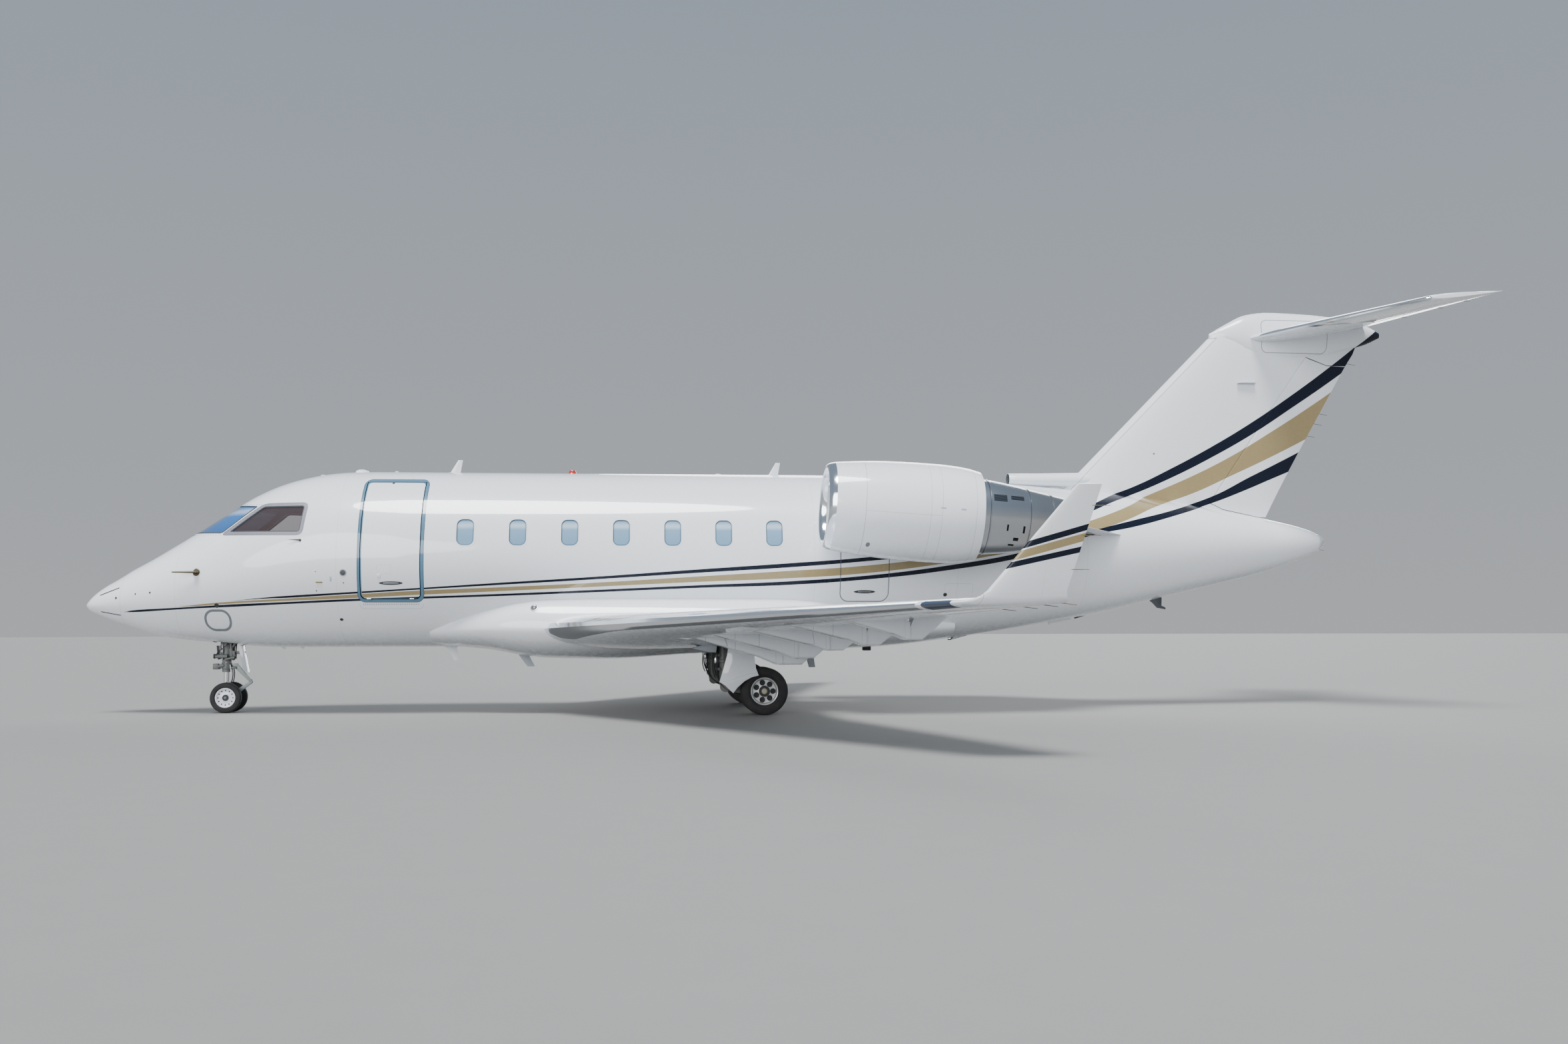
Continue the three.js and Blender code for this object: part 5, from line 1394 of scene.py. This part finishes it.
for out in (-1, 1):
    start = y + out * brake["apart"]
    ends = (wheelX, start, wheelZ), (wheelX, start + out * brake["width"], wheelZ)
    legParts += drawn(spindle, (2, *ends, brakeStack, 48))
    for turn in circle(brake["pistons"]):
        a = turn + brake["turn"]
        x, z = wheelX + brake["ring"] * math.cos(a), wheelZ + brake["ring"] * math.sin(a)
        legParts += drawn(rod, (2, (x, y + out * 0.06, z), (x, y + out * 0.07, z), 0.018, None, 16))
legParts += drawn(hose, *[(3, [(x, y + across, z) for x, across, z in points], r) for r, points in mainPipes])
legParts += [block((9.405, y - 0.06, z - 0.02), (9.47, y + 0.09, z + 0.02), 0.006) for z in (1.04, 0.86, 0.66)]
legParts += drawn(block, (1, (9.38, y - 0.05, 0.74), (9.44, y + 0.05, 0.84), 0.01))
tab = [(9.03, 0.962), (9.33, 1.05), (9.42, 1.05), (9.4, 0.9), (9.3, 0.905)]
legParts += drawn(
    plate,
    (4, mainDoor, 1.938, 1.961, 0.004), (4, doorHem, 1.95, 1.985, 0.014),
    (4, grown(mainDoor, -0.05), 1.93, 1.94, 0.004), (5, tab, y + 0.02, y + 0.2, 0.012),
)
# the first finish is the gear paint darkened as painted shade
paints = ["darkGear", "chrome", "brake", "hose", "white", "grey"]
wheels = ("main_wheels_*", ["main_wheels_*"], "wheel_metal", ["wheel", "hose", "axleCap"])
pair("mainLeg", "airframe", ["main_leg_*"], "gear_paint", paints, together(*legParts))
pair("mainWheels", *wheels, wheelSet(mainGear, y))
for word, out in (("outer", 1), ("inner", -1)):
    shape = shifted(tyre(mainGear), wheelX, y + out * mainGear["apart"], wheelZ)
    pair("mainTyre" + word.capitalize(), "main_wheels_*", ["main_tyre_*_" + word], "tyre_rubber", ["tyre"], shape)


def beside(side, *points):  # points given for starboard
    return [(x, side * y, z) for x, y, z in points]


x = noseGear["leg"]
wheelX, wheelZ = noseGear["wheel"]
barrel = [
    (0.045, 0.762), (0.066, 0.762), (0.07, 0.768), (0.07, 0.8), (0.064, 0.808), (0.064, 0.99), (0.07, 0.998),
    (0.07, 1.03), (0.064, 1.04), (0.064, 1.29), (0.045, 1.29),
]
folded = [(2.235, 1.02), (2.304, 1.02), (2.388, 0.62), (2.326, 0.63)]  # side of the door behind the leg
noseParts = [shifted(turned(barrel, "z", 36), x)]
noseParts += drawn(
    rod,
    (0, (x, 0, 0.9), (1.93, 0, 1.27), 0.03), (0, (x, 0, 1.0), (x, 0, 1.05), 0.068),
    (4, (1.98, -0.06, 0.93), (2.02, -0.06, 0.93), 0.03), (4, (1.98, 0.06, 0.93), (2.02, 0.06, 0.93), 0.03),
)
noseParts += drawn(
    block,
    (0, (x, -0.022, 0.88), (2.33, 0.022, 0.925), 0.006),
    (0, (1.945, -0.018, 0.83), (x - 0.04, 0.018, 0.86), 0.005),
)
noseParts += drawn(
    plate,
    (5, [(2.29, 1.01), (2.304, 1.01), (2.39, 0.606), (2.376, 0.606)], -0.08, 0.08, 0.003),
    (3, [(1.925, 1.01), (1.939, 1.01), (1.962, 0.8), (1.948, 0.8)], -0.095, 0.095, 0.003),
    (5, folded, -0.082, -0.07, 0.003), (5, folded, 0.07, 0.082, 0.003),
)
noseParts += drawn(
    hose,
    (1, [(2.1, 0.05, 1.2), (2.16, 0.06, 1.0), (2.13, 0.07, 0.86), (2.14, 0.06, 0.78)], 0.007),
    (1, [(2.0, 0.06, 1.2), (1.98, 0.07, 1.05), (2.0, 0.075, 0.9), (2.02, 0.07, 0.78)], 0.007),
    (1, [(2.0, -0.06, 1.2), (1.97, -0.07, 1.04), (1.99, -0.075, 0.9), (2.03, -0.07, 0.8)], 0.007),
)
for side in (-1, 1):  # steering jacks and their pipes, and the brace behind
    noseParts += drawn(
        rod,
        (0, *beside(side, (2.1, 0.035, 0.93), (2.27, 0.035, 1.15)), 0.018, None, 16),
        (0, *beside(side, (1.9, 0.075, 0.85), (2.09, 0.08, 0.85)), 0.03, None, 24),
        (1, *beside(side, (1.885, 0.075, 0.85), (1.91, 0.075, 0.85)), 0.036, None, 24),
        (0, *beside(side, (x + 0.05, 0.05, 1.2), (x + 0.09, 0.06, 0.79)), 0.017, None, 16),
        (0, *beside(side, (x - 0.01, 0.075, 0.8), (x + 0.12, 0.09, 0.83)), 0.018, None, 14),
    )
    noseParts.append(block((2.11, side * 0.045 - 0.02, 0.84), (2.19, side * 0.045 + 0.02, 0.93), 0.006))
    noseParts += drawn(
        hose,
        (1, beside(side, (1.92, 0.105, 0.86), (1.96, 0.12, 0.95), (2.08, 0.11, 0.98), (2.12, 0.07, 1.1)), 0.006),
        (1, beside(side, (2.18, 0.03, 1.15), (2.2, 0.04, 0.98), (2.17, 0.05, 0.84), (2.12, 0.06, 0.79)), 0.008),
    )
# the first finish is the gear paint darkened as painted shade
paints = ["darkGear", "hose", "white", "seal", "lampClear", "grey"]
piece("noseLeg", "airframe", ["nose_leg"], "gear_paint", paints, together(*noseParts))

collar = [(0.044, 0.61), (0.066, 0.61), (0.066, 0.65), (0.076, 0.66), (0.076, 0.75), (0.07, 0.7585), (0.044, 0.7585)]
links = (  # the torque links behind the fork
    [(x + 0.1, 0.74), (x + 0.16, 0.74), (x + 0.375, 0.475), (x + 0.385, 0.45), (x + 0.365, 0.438), (x + 0.1, 0.69)],
    [(x + 0.35, 0.475), (x + 0.385, 0.475), (x + 0.385, 0.445), (x + 0.11, 0.23), (x + 0.06, 0.23), (x + 0.06, 0.28)],
)
axleFork = [(2.014, 0.42), (2.106, 0.42), (2.153, 0.2285), (2.103, 0.1805), (2.03, 0.2085)]
axleFork = plate(axleFork, -0.046, 0.046, 0.008, 0.015)
fork = [tinted(shifted(turned(collar, "z", 36), x), 2), carved(axleFork, axleBore(noseGear, 0, 0.08, 24), rim=0)]
fork += drawn(
    rod,
    (1, (x, 0, 0.985), (x, 0, 0.3), 0.0435, None, 32),
    (0, (x + 0.37, -0.05, 0.458), (x + 0.37, 0.05, 0.458), 0.013, None, 16),
    (0, (x + 0.37, 0, 0.43), (x + 0.37, 0, 0.5), 0.009, None, 12),
)
fork += drawn(
    block,
    (0, (x + 0.04, -0.024, 0.69), (x + 0.17, 0.024, 0.735), 0.006),
    (0, (x + 0.03, -0.024, 0.22), (x + 0.1, 0.024, 0.3), 0.006),
    (2, (1.87, -0.075, 0.65), (1.96, 0.075, 0.738), 0.012),
    (2, (x + 0.06, -0.05, 0.66), (x + 0.15, 0.05, 0.69), 0.006),
)
for side in (-1, 1):  # link plates, and the collar's arms and pipes, which turn with the fork
    fork += [plate(outline, *sorted((side * 0.008, side * 0.02)), 0.003) for outline in links]
    fork += drawn(rod, (2, *beside(side, (x - 0.02, 0.06, 0.715), (1.92, 0.05, 0.69)), 0.028, 0.022, 20))
    outer = (x + 0.07, 0.035, 0.73), (x + 0.12, 0.05, 0.62), (x + 0.12, 0.05, 0.5), (x + 0.05, 0.04, 0.38)
    inner = (x + 0.06, 0.05, 0.72), (x + 0.085, 0.06, 0.6), (x + 0.08, 0.055, 0.48), (x + 0.02, 0.05, 0.38)
    fork += drawn(hose, (3, beside(side, *outer), 0.008), (4, beside(side, *inner), 0.006))
# the third finish is the gear paint darkened as painted shade
paints = ["gear", "chrome", "darkGear", "hose", "white"]
piece("noseFork", "nose_fork", ["nose_fork"], "gear_paint", paints, together(*fork))
# the last finish is the gear paint darkened as painted shade
wheels = ("nose_wheels", ["nose_wheels"], "wheel_metal", ["white", "hose", "darkGear"])
piece("noseWheels", *wheels, wheelSet(noseGear, 0.0))
for word, out in (("right", 1), ("left", -1)):
    shape = shifted(tyre(noseGear), wheelX, out * noseGear["apart"], wheelZ)
    piece("noseTyre" + word.capitalize(), "nose_wheels", ["nose_tyre_" + word], "tyre_rubber", ["tyre"], shape)
print("gear done")

# Cabin and cockpit

seating = {
    "foot": 1.596, "cabin": [(5.62, -1), (6.9, 1), (8.18, -1), (9.46, 1)], "cabinSide": 0.64, "cabinWidth": 0.56,
    "pilot": 2.72, "pilotSide": 0.47, "pilotWidth": 0.47, "lean": 11.2, "swell": 0.013, "long": 0.74, "arm": 0.065,
}
seatSide = [
    (0, 0), (0.09, 0), (0.09, 0.24), (0.43, 0.24), (0.52, 0.02), (0.64, 0.02), (0.6, 0.33), (0.735, 1.07),
    (0.7, 1.08), (0.565, 0.4), (0.53, 0.32), (0.02, 0.32), (0, 0.3),
]
armSide = [(0.07, 0.2), (0.56, 0.2), (0.62, 0.6), (0.08, 0.57)]
armTop = [(0.12, 0.585), (0.5, 0.605), (0.5, 0.617), (0.12, 0.597)]
cushions = {"seat": (0.44, 0.42, 0.118), "cabinBack": (0.58, 0.5, 0.088), "pilotBack": (0.58, 0.42, 0.088)}
blow = {"pressure": 4.0, "frames": 20}
deck = {"top": 1.606, "thick": 0.05, "cabin": (3.96, 12.43), "cockpit": (1.72, 3.94)}


def placed(shape, front, y, facing):  # facing 1 looks to the nose
    if facing < 0:
        shifted(flipped(shape, (-1, 1, 1)), seating["long"])
    return shifted(shape, front, y, seating["foot"])


def seatFrame(width, arms):
    half = width / 2
    parts = drawn(plate, (1, seatSide, -half, half, 0.01))
    for side in (-1, 1) if arms else ():
        low, high = sorted((side * half, side * (half - seating["arm"])))
        parts += drawn(plate, (1, armSide, low, high, 0.02, 0.04), (2, armTop, low + 0.012, high - 0.012, 0.004))
    return together(*parts)


def blownCase(size):  # a sewn case under a little air pressure
    shape = cuboid(size)
    softened(shape, shape.edges[:], min(size) * 0.28)
    long = [e for e in shape.edges if e.calc_length() > 0.06]
    bmesh.ops.subdivide_edges(shape, edges=long, cuts=9, use_grid_fill=True)
    still = [v.co.copy() for v in shape.verts]
    case = passing(shape)
    cloth = case.modifiers.new("air", "CLOTH").settings
    cloth.use_pressure = True
    cloth.uniform_pressure_force = blow["pressure"]
    cloth.effector_weights.gravity = 0.0
    for number in range(1, blow["frames"] + 1):
        bpy.context.scene.frame_set(number)
    swollen = baked(case)
    bpy.context.scene.frame_set(1)
    for vert, start in zip(swollen.verts, still):
        step = vert.co - start
        vert.co = start + step * min(1.0, seating["swell"] / max(step.length, 1e-6))
        vert.co.z = max(vert.co.z, -size[2] / 2)  # flat where it rests
    return swollen


def cushionPair(case, back, name, front, y, facing):
    turn = Matrix.Rotation(math.radians(seating["lean"]), 4, "Y") @ Matrix.Rotation(math.radians(-90), 4, "Y")
    seatPad = shifted(case.copy(), 0.275, 0, 0.388)
    backPad = moved(back.copy(), Matrix.Translation((0.588, 0, 0.775)) @ turn)
    for word, shape in (("Seat", seatPad), ("Back", backPad)):
        made = piece(name + word, "airframe", [], "cabin_trim", ["leather"], placed(shape, front, y, facing), 60)
        smooth = made.modifiers.new("Subdivision", "SUBSURF")
        smooth.levels = smooth.render_levels = 1


def floorDeck(start, end):
    board = block((start, -1.4, deck["top"] - deck["thick"]), (end, 1.4, deck["top"]))
    return common(solidHull(start - 0.1, end + 0.1, -0.088, 0.3), board)


cabinParts = [floorDeck(*deck["cabin"])]
case, back = blownCase(cushions["seat"]), blownCase(cushions["cabinBack"])
for row, (front, facing) in enumerate(seating["cabin"]):
    for word, side in (("Left", -1), ("Right", 1)):
        y = side * seating["cabinSide"]
        cabinParts.append(placed(seatFrame(seating["cabinWidth"], True), front, y, facing))
        cushionPair(case, back, "row" + str(row + 1) + word, front, y, facing)
paints = ["carpet", "leather", "veneer"]
piece("cabinFittings", "airframe", ["cabin_interior"], "cabin_trim", paints, together(*cabinParts))

case, back = blownCase(cushions["seat"]), blownCase(cushions["pilotBack"])
panel = [(2.05, 1.596), (2.23, 1.596), (2.33, 2.12), (2.42, 2.48), (2.4, 2.56), (2.08, 2.56), (1.96, 2.2)]
pedestal = [(2.25, 1.6), (3.02, 1.6), (3.02, 1.97), (2.95, 2.0), (2.25, 2.06)]
face = [(2.338, 2.152), (2.344, 2.15), (2.414, 2.428), (2.408, 2.43)]
wheelRim = [(2.55, 0.15, 2.23), (2.565, 0.175, 2.1), (2.565, 0.07, 2.07)]
wheelRim += beside(-1, *reversed(wheelRim))
cockpitParts = [floorDeck(*deck["cockpit"])]
cockpitParts += drawn(plate, (2, panel, -0.64, 0.64, 0.012), (2, pedestal, -0.15, 0.15, 0.015))
cockpitParts += drawn(plate, *[(3, face, y - 0.1, y + 0.1, 0.002) for y in (-0.46, -0.235, 0.0, 0.235, 0.46)])
for y in (-0.05, 0.05):  # power levers
    cockpitParts += drawn(rod, (4, (2.62, y, 2.0), (2.56, y, 2.17), 0.008, None, 12))
    cockpitParts += drawn(block, (2, (2.535, y - 0.025, 2.16), (2.58, y + 0.025, 2.2), 0.008))
for name, side in (("leftPilot", -1), ("rightPilot", 1)):
    y = side * seating["pilotSide"]
    cockpitParts.append(placed(seatFrame(seating["pilotWidth"], False), seating["pilot"], y, 1))
    cushionPair(case, back, name, seating["pilot"], y, 1)
    cockpitParts += drawn(rod, (2, (2.33, y, 2.06), (2.56, y, 2.1), 0.022, None, 16))
    cockpitParts += drawn(hose, (2, [(x, y - across, z) for x, across, z in wheelRim], 0.014))
paints = ["carpet", "leather", "panel", "display", "chrome"]
piece("cockpitFittings", "airframe", ["cockpit_interior"], "cabin_trim", paints, together(*cockpitParts))
print("cabin done")

# Aerials, probes, lamps and static wicks

bladeAerials = [  # station, foot, sweep, reach, chord at the foot and at the tip, finish, level of its shoe
    (5.42, 3.64, 0.14, 0.235, 0.17, 0.07, 0, 3.672), (10.385, 3.64, 0.14, 0.235, 0.17, 0.07, 0, 3.672),
    (5.4, 1.01, 0.14, -0.24, 0.17, 0.07, 0, 0.982), (6.5, 0.87, 0.15, -0.2, 0.16, 0.115, 6, None),
    (10.95, 0.93, 0.08, -0.295, 0.14, 0.105, 6, None),
]
dome = [(3.915, 3.64), (4.13, 3.64), (4.11, 3.692), (4.05, 3.712), (3.98, 3.712), (3.93, 3.69)]
bumps = [(3.44, 3.606, 0.05), (9.52, 3.67, 0.05), (4.54, 3.671, 0.03)]  # station, foot, radius
beacon = {"x": 7.237, "foot": 3.65, "head": 3.728, "radius": 0.062}
underTail = [  # outline, half width, finish
    ([(13.229, 1.066), (13.743, 1.206), (14.695, 1.343), (14.68, 1.43), (13.75, 1.3), (13.3, 1.13)], 0.11, 0),
    ([(13.215, 1.056), (13.743, 1.196), (14.70, 1.333), (14.70, 1.347), (13.743, 1.21), (13.215, 1.07)], 0.1, 4),
    ([(14.8, 1.43), (14.859, 1.29), (15.201, 1.364), (15.28, 1.5), (14.9, 1.46)], 0.02, 0),
    ([(15.24, 1.5), (15.29, 1.395), (15.47, 1.45), (15.52, 1.54)], 0.05, 4),
    ([(16.53, 1.76), (16.52, 1.69), (16.58, 1.65), (16.66, 1.565), (16.8, 1.54), (16.79, 1.575), (16.73, 1.6),
      (16.74, 1.8)], 0.018, 5),
]
drains = [  # station, height, radius
    (3.603, 2.089, 0.007), (3.609, 1.812, 0.009), (4.004, 1.926, 0.009), (2.126, 1.603, 0.036), (3.93, 1.395, 0.026),
    (12.917, 1.753, 0.03), (0.554, 1.724, 0.017), (0.877, 1.78, 0.012), (1.113, 1.798, 0.014), (4.62, 3.43, 0.02),
]
conductors = ((0.263, 1.767), (0.591, 1.876)), ((0.285, 1.523), (0.608, 1.468))
probe = {"mast": (1.79, 1.87, 2.08, 2.1), "inner": 0.84, "outer": 0.966, "tip": 1.505, "middle": (1.83, 0.955, 2.09)}
vane = [(3.18, 2.554), (3.36, 2.54), (3.36, 2.562), (3.3, 2.562)]

fittings = []
for x, foot, sweep, reach, rootChord, tipChord, number, level in bladeAerials:
    rows = []
    for share in spaced(0, 1, 1 / 6):
        nose = (x - rootChord / 2 + sweep * share, 0, foot + reach * share)
        rows.append(aerofoil(nose, rootChord + (tipChord - rootChord) * share, 0.14, upright=True))
    fittings.append(tinted(skinned(rows), number))
    if level:
        outline = rectangle(x - rootChord * 0.62, x + rootChord * 0.62, -0.035, 0.035)
        fittings.append(shifted(slab(outline, "z", -0.006, 0.006, 0.03, 0.003), z=level))
fittings.append(plate(dome, -0.06, 0.06, 0.018))
for x, z, radius in bumps:
    profile = [(0, -0.01), (radius, -0.01), (radius, 0.006), (radius * 0.8, 0.018), (0, 0.024)]
    fittings.append(shifted(turned(profile, "z", 32, False), x, 0, z))
for x in (2.87, 3.155):  # drain masts under the nose
    mast = [(x - 0.05, 0.99), (x + 0.03, 0.99), (x + 0.05, 0.945), (x + 0.02, 0.945)]
    fittings.append(plate(mast, 0.05, 0.062, 0.002))
foot, head, radius = beacon["foot"], beacon["head"], beacon["radius"]
lens = [
    (0, foot), (radius, foot), (radius, foot + 0.03), (radius * 0.93, foot + 0.055), (radius * 0.75, head - 0.004),
    (0, head),
]
beaconParts = drawn(turned, (3, lens, "z", 32, False)) + drawn(tube, (1, 0.05, 0.07, 3.66, 3.678))
fittings += [shifted(shape, beacon["x"]) for shape in beaconParts]
fittings += drawn(block, (4, (11.82, -0.05, 0.895), (11.95, 0.05, 0.96), 0.012))
fittings += drawn(plate, *[(number, outline, -half, half, 0.003) for outline, half, number in underTail])
for side in (-1, 1):  # conductor strips on the nose, above and below
    for path in conductors:
        line = [blend(*path, k, 12) for k in range(13)]
        fittings += drawn(hose, (4, [(x, side * (hullSide(x, z) + 0.004), z) for x, z in line], 0.006))

lampPlace, portPlace = (6.75, 1.559, fairingSections), (4.0, 2.072)
vanePlace, hatchPlace = (3.3, 2.55), (11.665, 1.795)
lampRim = [(0.03, -0.01), (0.055, -0.01), (0.055, 0.006), (0.046, 0.008), (0.03, -0.002)]
start = Vector(probe["middle"]) * Vector((1, -1, 1))
reach = hullSide(*vanePlace) + 0.012
portParts = drawn(  # drawn to port, with a twin to starboard
    onSkin,
    (8, button(0.055, 0.014), 1.83, 2.09), (4, button(0.02, 0.012), 3.365, 2.548),
    (5, button(0.046, 0.002), *portPlace), (1, tube(0.04, 0.052, -0.004, 0.003), *portPlace),
    (2, block((-0.04, -0.009, 0), (0.055, 0.009, 0.016), 0.005), 3.645, 1.938),
    (6, block((-0.012, -0.035, -0.003), (0.012, 0.035, 0.002), 0.002), 3.82, 1.984),
    (1, turned(lampRim, "z", 36), *lampPlace), (4, button(0.034, 0.001), *lampPlace),
    (7, button(0.016, 0.004), *lampPlace), *[(4, button(radius, 0.003), x, z) for x, z, radius in drains],
)
portParts += drawn(
    plate,
    (8, rectangle(*probe["mast"]), -probe["outer"], -probe["inner"], 0.005), (8, vane, -reach - 0.01, -reach, 0.003),
    (6, [(18.04, 5.238), (18.35, 5.24), (18.35, 5.25), (18.12, 5.252)], -0.2, -0.11, 0.002),
)
portParts += drawn(rod, (8, start, (probe["tip"], start.y, start.z), 0.018, 0.01, 20, 0.3))
handle = drawn(  # of the hatch behind the wing, to port only
    onSkin,
    (4, button(0.026, 0.002, 6.3, 40), *hatchPlace),
    (1, block((-0.1, -0.006, 0), (0.1, 0.006, 0.005), 0.002), *hatchPlace),
)


def wick(start, length=0.14, drop=0.02, number=0):
    x, y, z = start
    return tinted(rod((x - 0.03, y, z), (x + length, y, z - drop), 0.0042, 0.0026, 8), number)


def edgeWicks(rows, places, *sizes):  # at the trailing edge, to starboard
    return [wick(onChord(rows, y)[0], *sizes) for y in places]


tips = edgeWicks(wingSections, [9.25], 0.14, 0.02, 2)
for share in (0.2, 0.52, 0.8):  # up the winglet
    y, x, z, chord, *_ = blend(*wingSections[6:], share)
    tips.append(wick((x + chord, y, z), 0.15, 0.0, 2))
port = together(*portParts, mirrored(together(*tips)))
starboard = mirrored(port)
tailWick = wick((19.36, 0, 2.535), 0.16, 0.03, 2)
paints = ["white", "trim", "brass", "lampRed", "hose", "darkMetal", "grey", "lampClear", "probe"]
shape = together(*fittings, port, starboard, *handle, tailWick)
piece("fittings", "airframe", [], "white_paint", paints, shape)
rudderEdge = (19.998, 5.627), (19.485, 4.781), (19.388, 4.613), (19.255, 4.412)
shape = together(*[wick((x, 0, z), 0.16, 0.03) for x, z in rudderEdge])
piece("rudderWicks", "rudder", [], "white_paint", ["hose"], shape)
for name, rows, places, sizes in (
    ("aileron", wingSections, [8.05, 8.5, 8.9], ()), ("elevator", tailplaneSections, [1.0, 1.8, 2.35], (0.1, 0.0)),
):
    shape = together(*edgeWicks(rows, places, *sizes))
    pair(name + "Wicks", name + "_*", [], "white_paint", ["hose"], shape)

tip = [(0, 19.37), (0.137, 19.37), (0.136, 19.4), (0.118, 19.43), (0.08, 19.478), (0.04, 19.508), (0, 19.518)]
tailLamp = shifted(turned(tip, "x", 40, False), z=2.635)
piece("tailLamp", "airframe", [], "glazing", ["lampClear"], tailLamp, 60)
covers = []  # navigation lamps in the wings' leading edges
for number, low, high, swell in ((0, 8.78, 9.34, 1.04), (1, 8.86, 9.24, 1.09)):
    rows = []
    for k in range(9):
        ring = spanRing(between(wingSections, low + (high - low) * k / 8))
        nose = ring[:4] + ring[-3:]
        centre = sum(nose, Vector()) / len(nose)
        rows.append([centre + (p - centre) * swell for p in nose])
    covers.append(tinted(skinned(rows), number))
pair("tipLamp", "airframe", [], "glazing", ["white", "lampGlass"], together(*covers), 50)
print("fittings done")

# Floor, light and camera

studio = {
    "floor": (0.25, 0.248, 0.24), "radius": 260.0, "sky": (0.55, 0.68, 0.84), "haze": (0.86, 0.89, 0.93),
    "climb": 0.55, "strength": 0.52,
    "lamps": {  # aim, watts, spread
        "overhead": ((0.12, 0.36, -1.0), 5.0, 22), "front": ((0.45, 1.0, -0.24), 2.2, 35),
        "far": ((-0.3, -1.0, -0.3), 1.4, 35),
    },
}
view = {  # lens in pixels of the photograph, place, and turns
    "lens": 2190.47, "width": 2356, "sensor": 36.0, "place": (-2.187, -22.988, 1.255), "pan": math.radians(-5.80),
    "tilt": math.radians(90 + 4.154), "roll": -0.002585, "reach": 900.0,
}
ground = Shader("floorFinish")
speckle = ground.noise(3.0, 6.0)
fine = ground.noise(60.0, 4.0)
tone = ground.mix(speckle * 0.5, studio["floor"], shaded(studio["floor"], 0.86))
ground.feed(Base_Color=tone, Roughness=0.75 + fine * 0.15, Normal=ground.bump(fine, 0.1, 0.002))
disc = bmesh.new()
bmesh.ops.create_circle(disc, cap_ends=True, segments=96, radius=studio["radius"])
mesh = bpy.data.meshes.new("floor")
disc.to_mesh(mesh)
disc.free()
mesh.materials.append(ground.material)
floorPlate = linked("floor", mesh)

world = bpy.data.worlds.new("studio")
bpy.context.scene.world = world
world.use_nodes = True
sky = world.node_tree
where = sky.nodes.new("ShaderNodeTexCoord")
parts = sky.nodes.new("ShaderNodeSeparateXYZ")
ramp = sky.nodes.new("ShaderNodeValToRGB")
for element, place, color in zip(ramp.color_ramp.elements, (0.0, studio["climb"]), (studio["haze"], studio["sky"])):
    element.position = place
    element.color = (*color, 1)
sky.links.new(where.outputs["Generated"], parts.inputs[0])
sky.links.new(parts.outputs["Z"], ramp.inputs[0])
sky.links.new(ramp.outputs[0], sky.nodes["Background"].inputs["Color"])
sky.nodes["Background"].inputs["Strength"].default_value = studio["strength"]

for name, (aim, power, spread) in studio["lamps"].items():
    lamp = bpy.data.lights.new(name, "SUN")
    lamp.energy = power
    lamp.angle = math.radians(spread)
    lampPiece = linked(name, lamp)
    lampPiece.rotation_mode = "QUATERNION"
    lampPiece.rotation_quaternion = Vector(aim).to_track_quat("-Z", "Y")

lens = bpy.data.cameras.new("camera")
lens.sensor_width = view["sensor"]
lens.lens = view["sensor"] * view["lens"] / view["width"]
lens.clip_end = view["reach"]
viewer = linked("camera", lens)
aim = Matrix.Rotation(view["pan"], 4, "Z") @ Matrix.Rotation(view["tilt"], 4, "X")
viewer.matrix_world = Matrix.Translation(view["place"]) @ aim @ Matrix.Rotation(view["roll"], 4, "Z")
bpy.context.scene.camera = viewer

print("stage done")
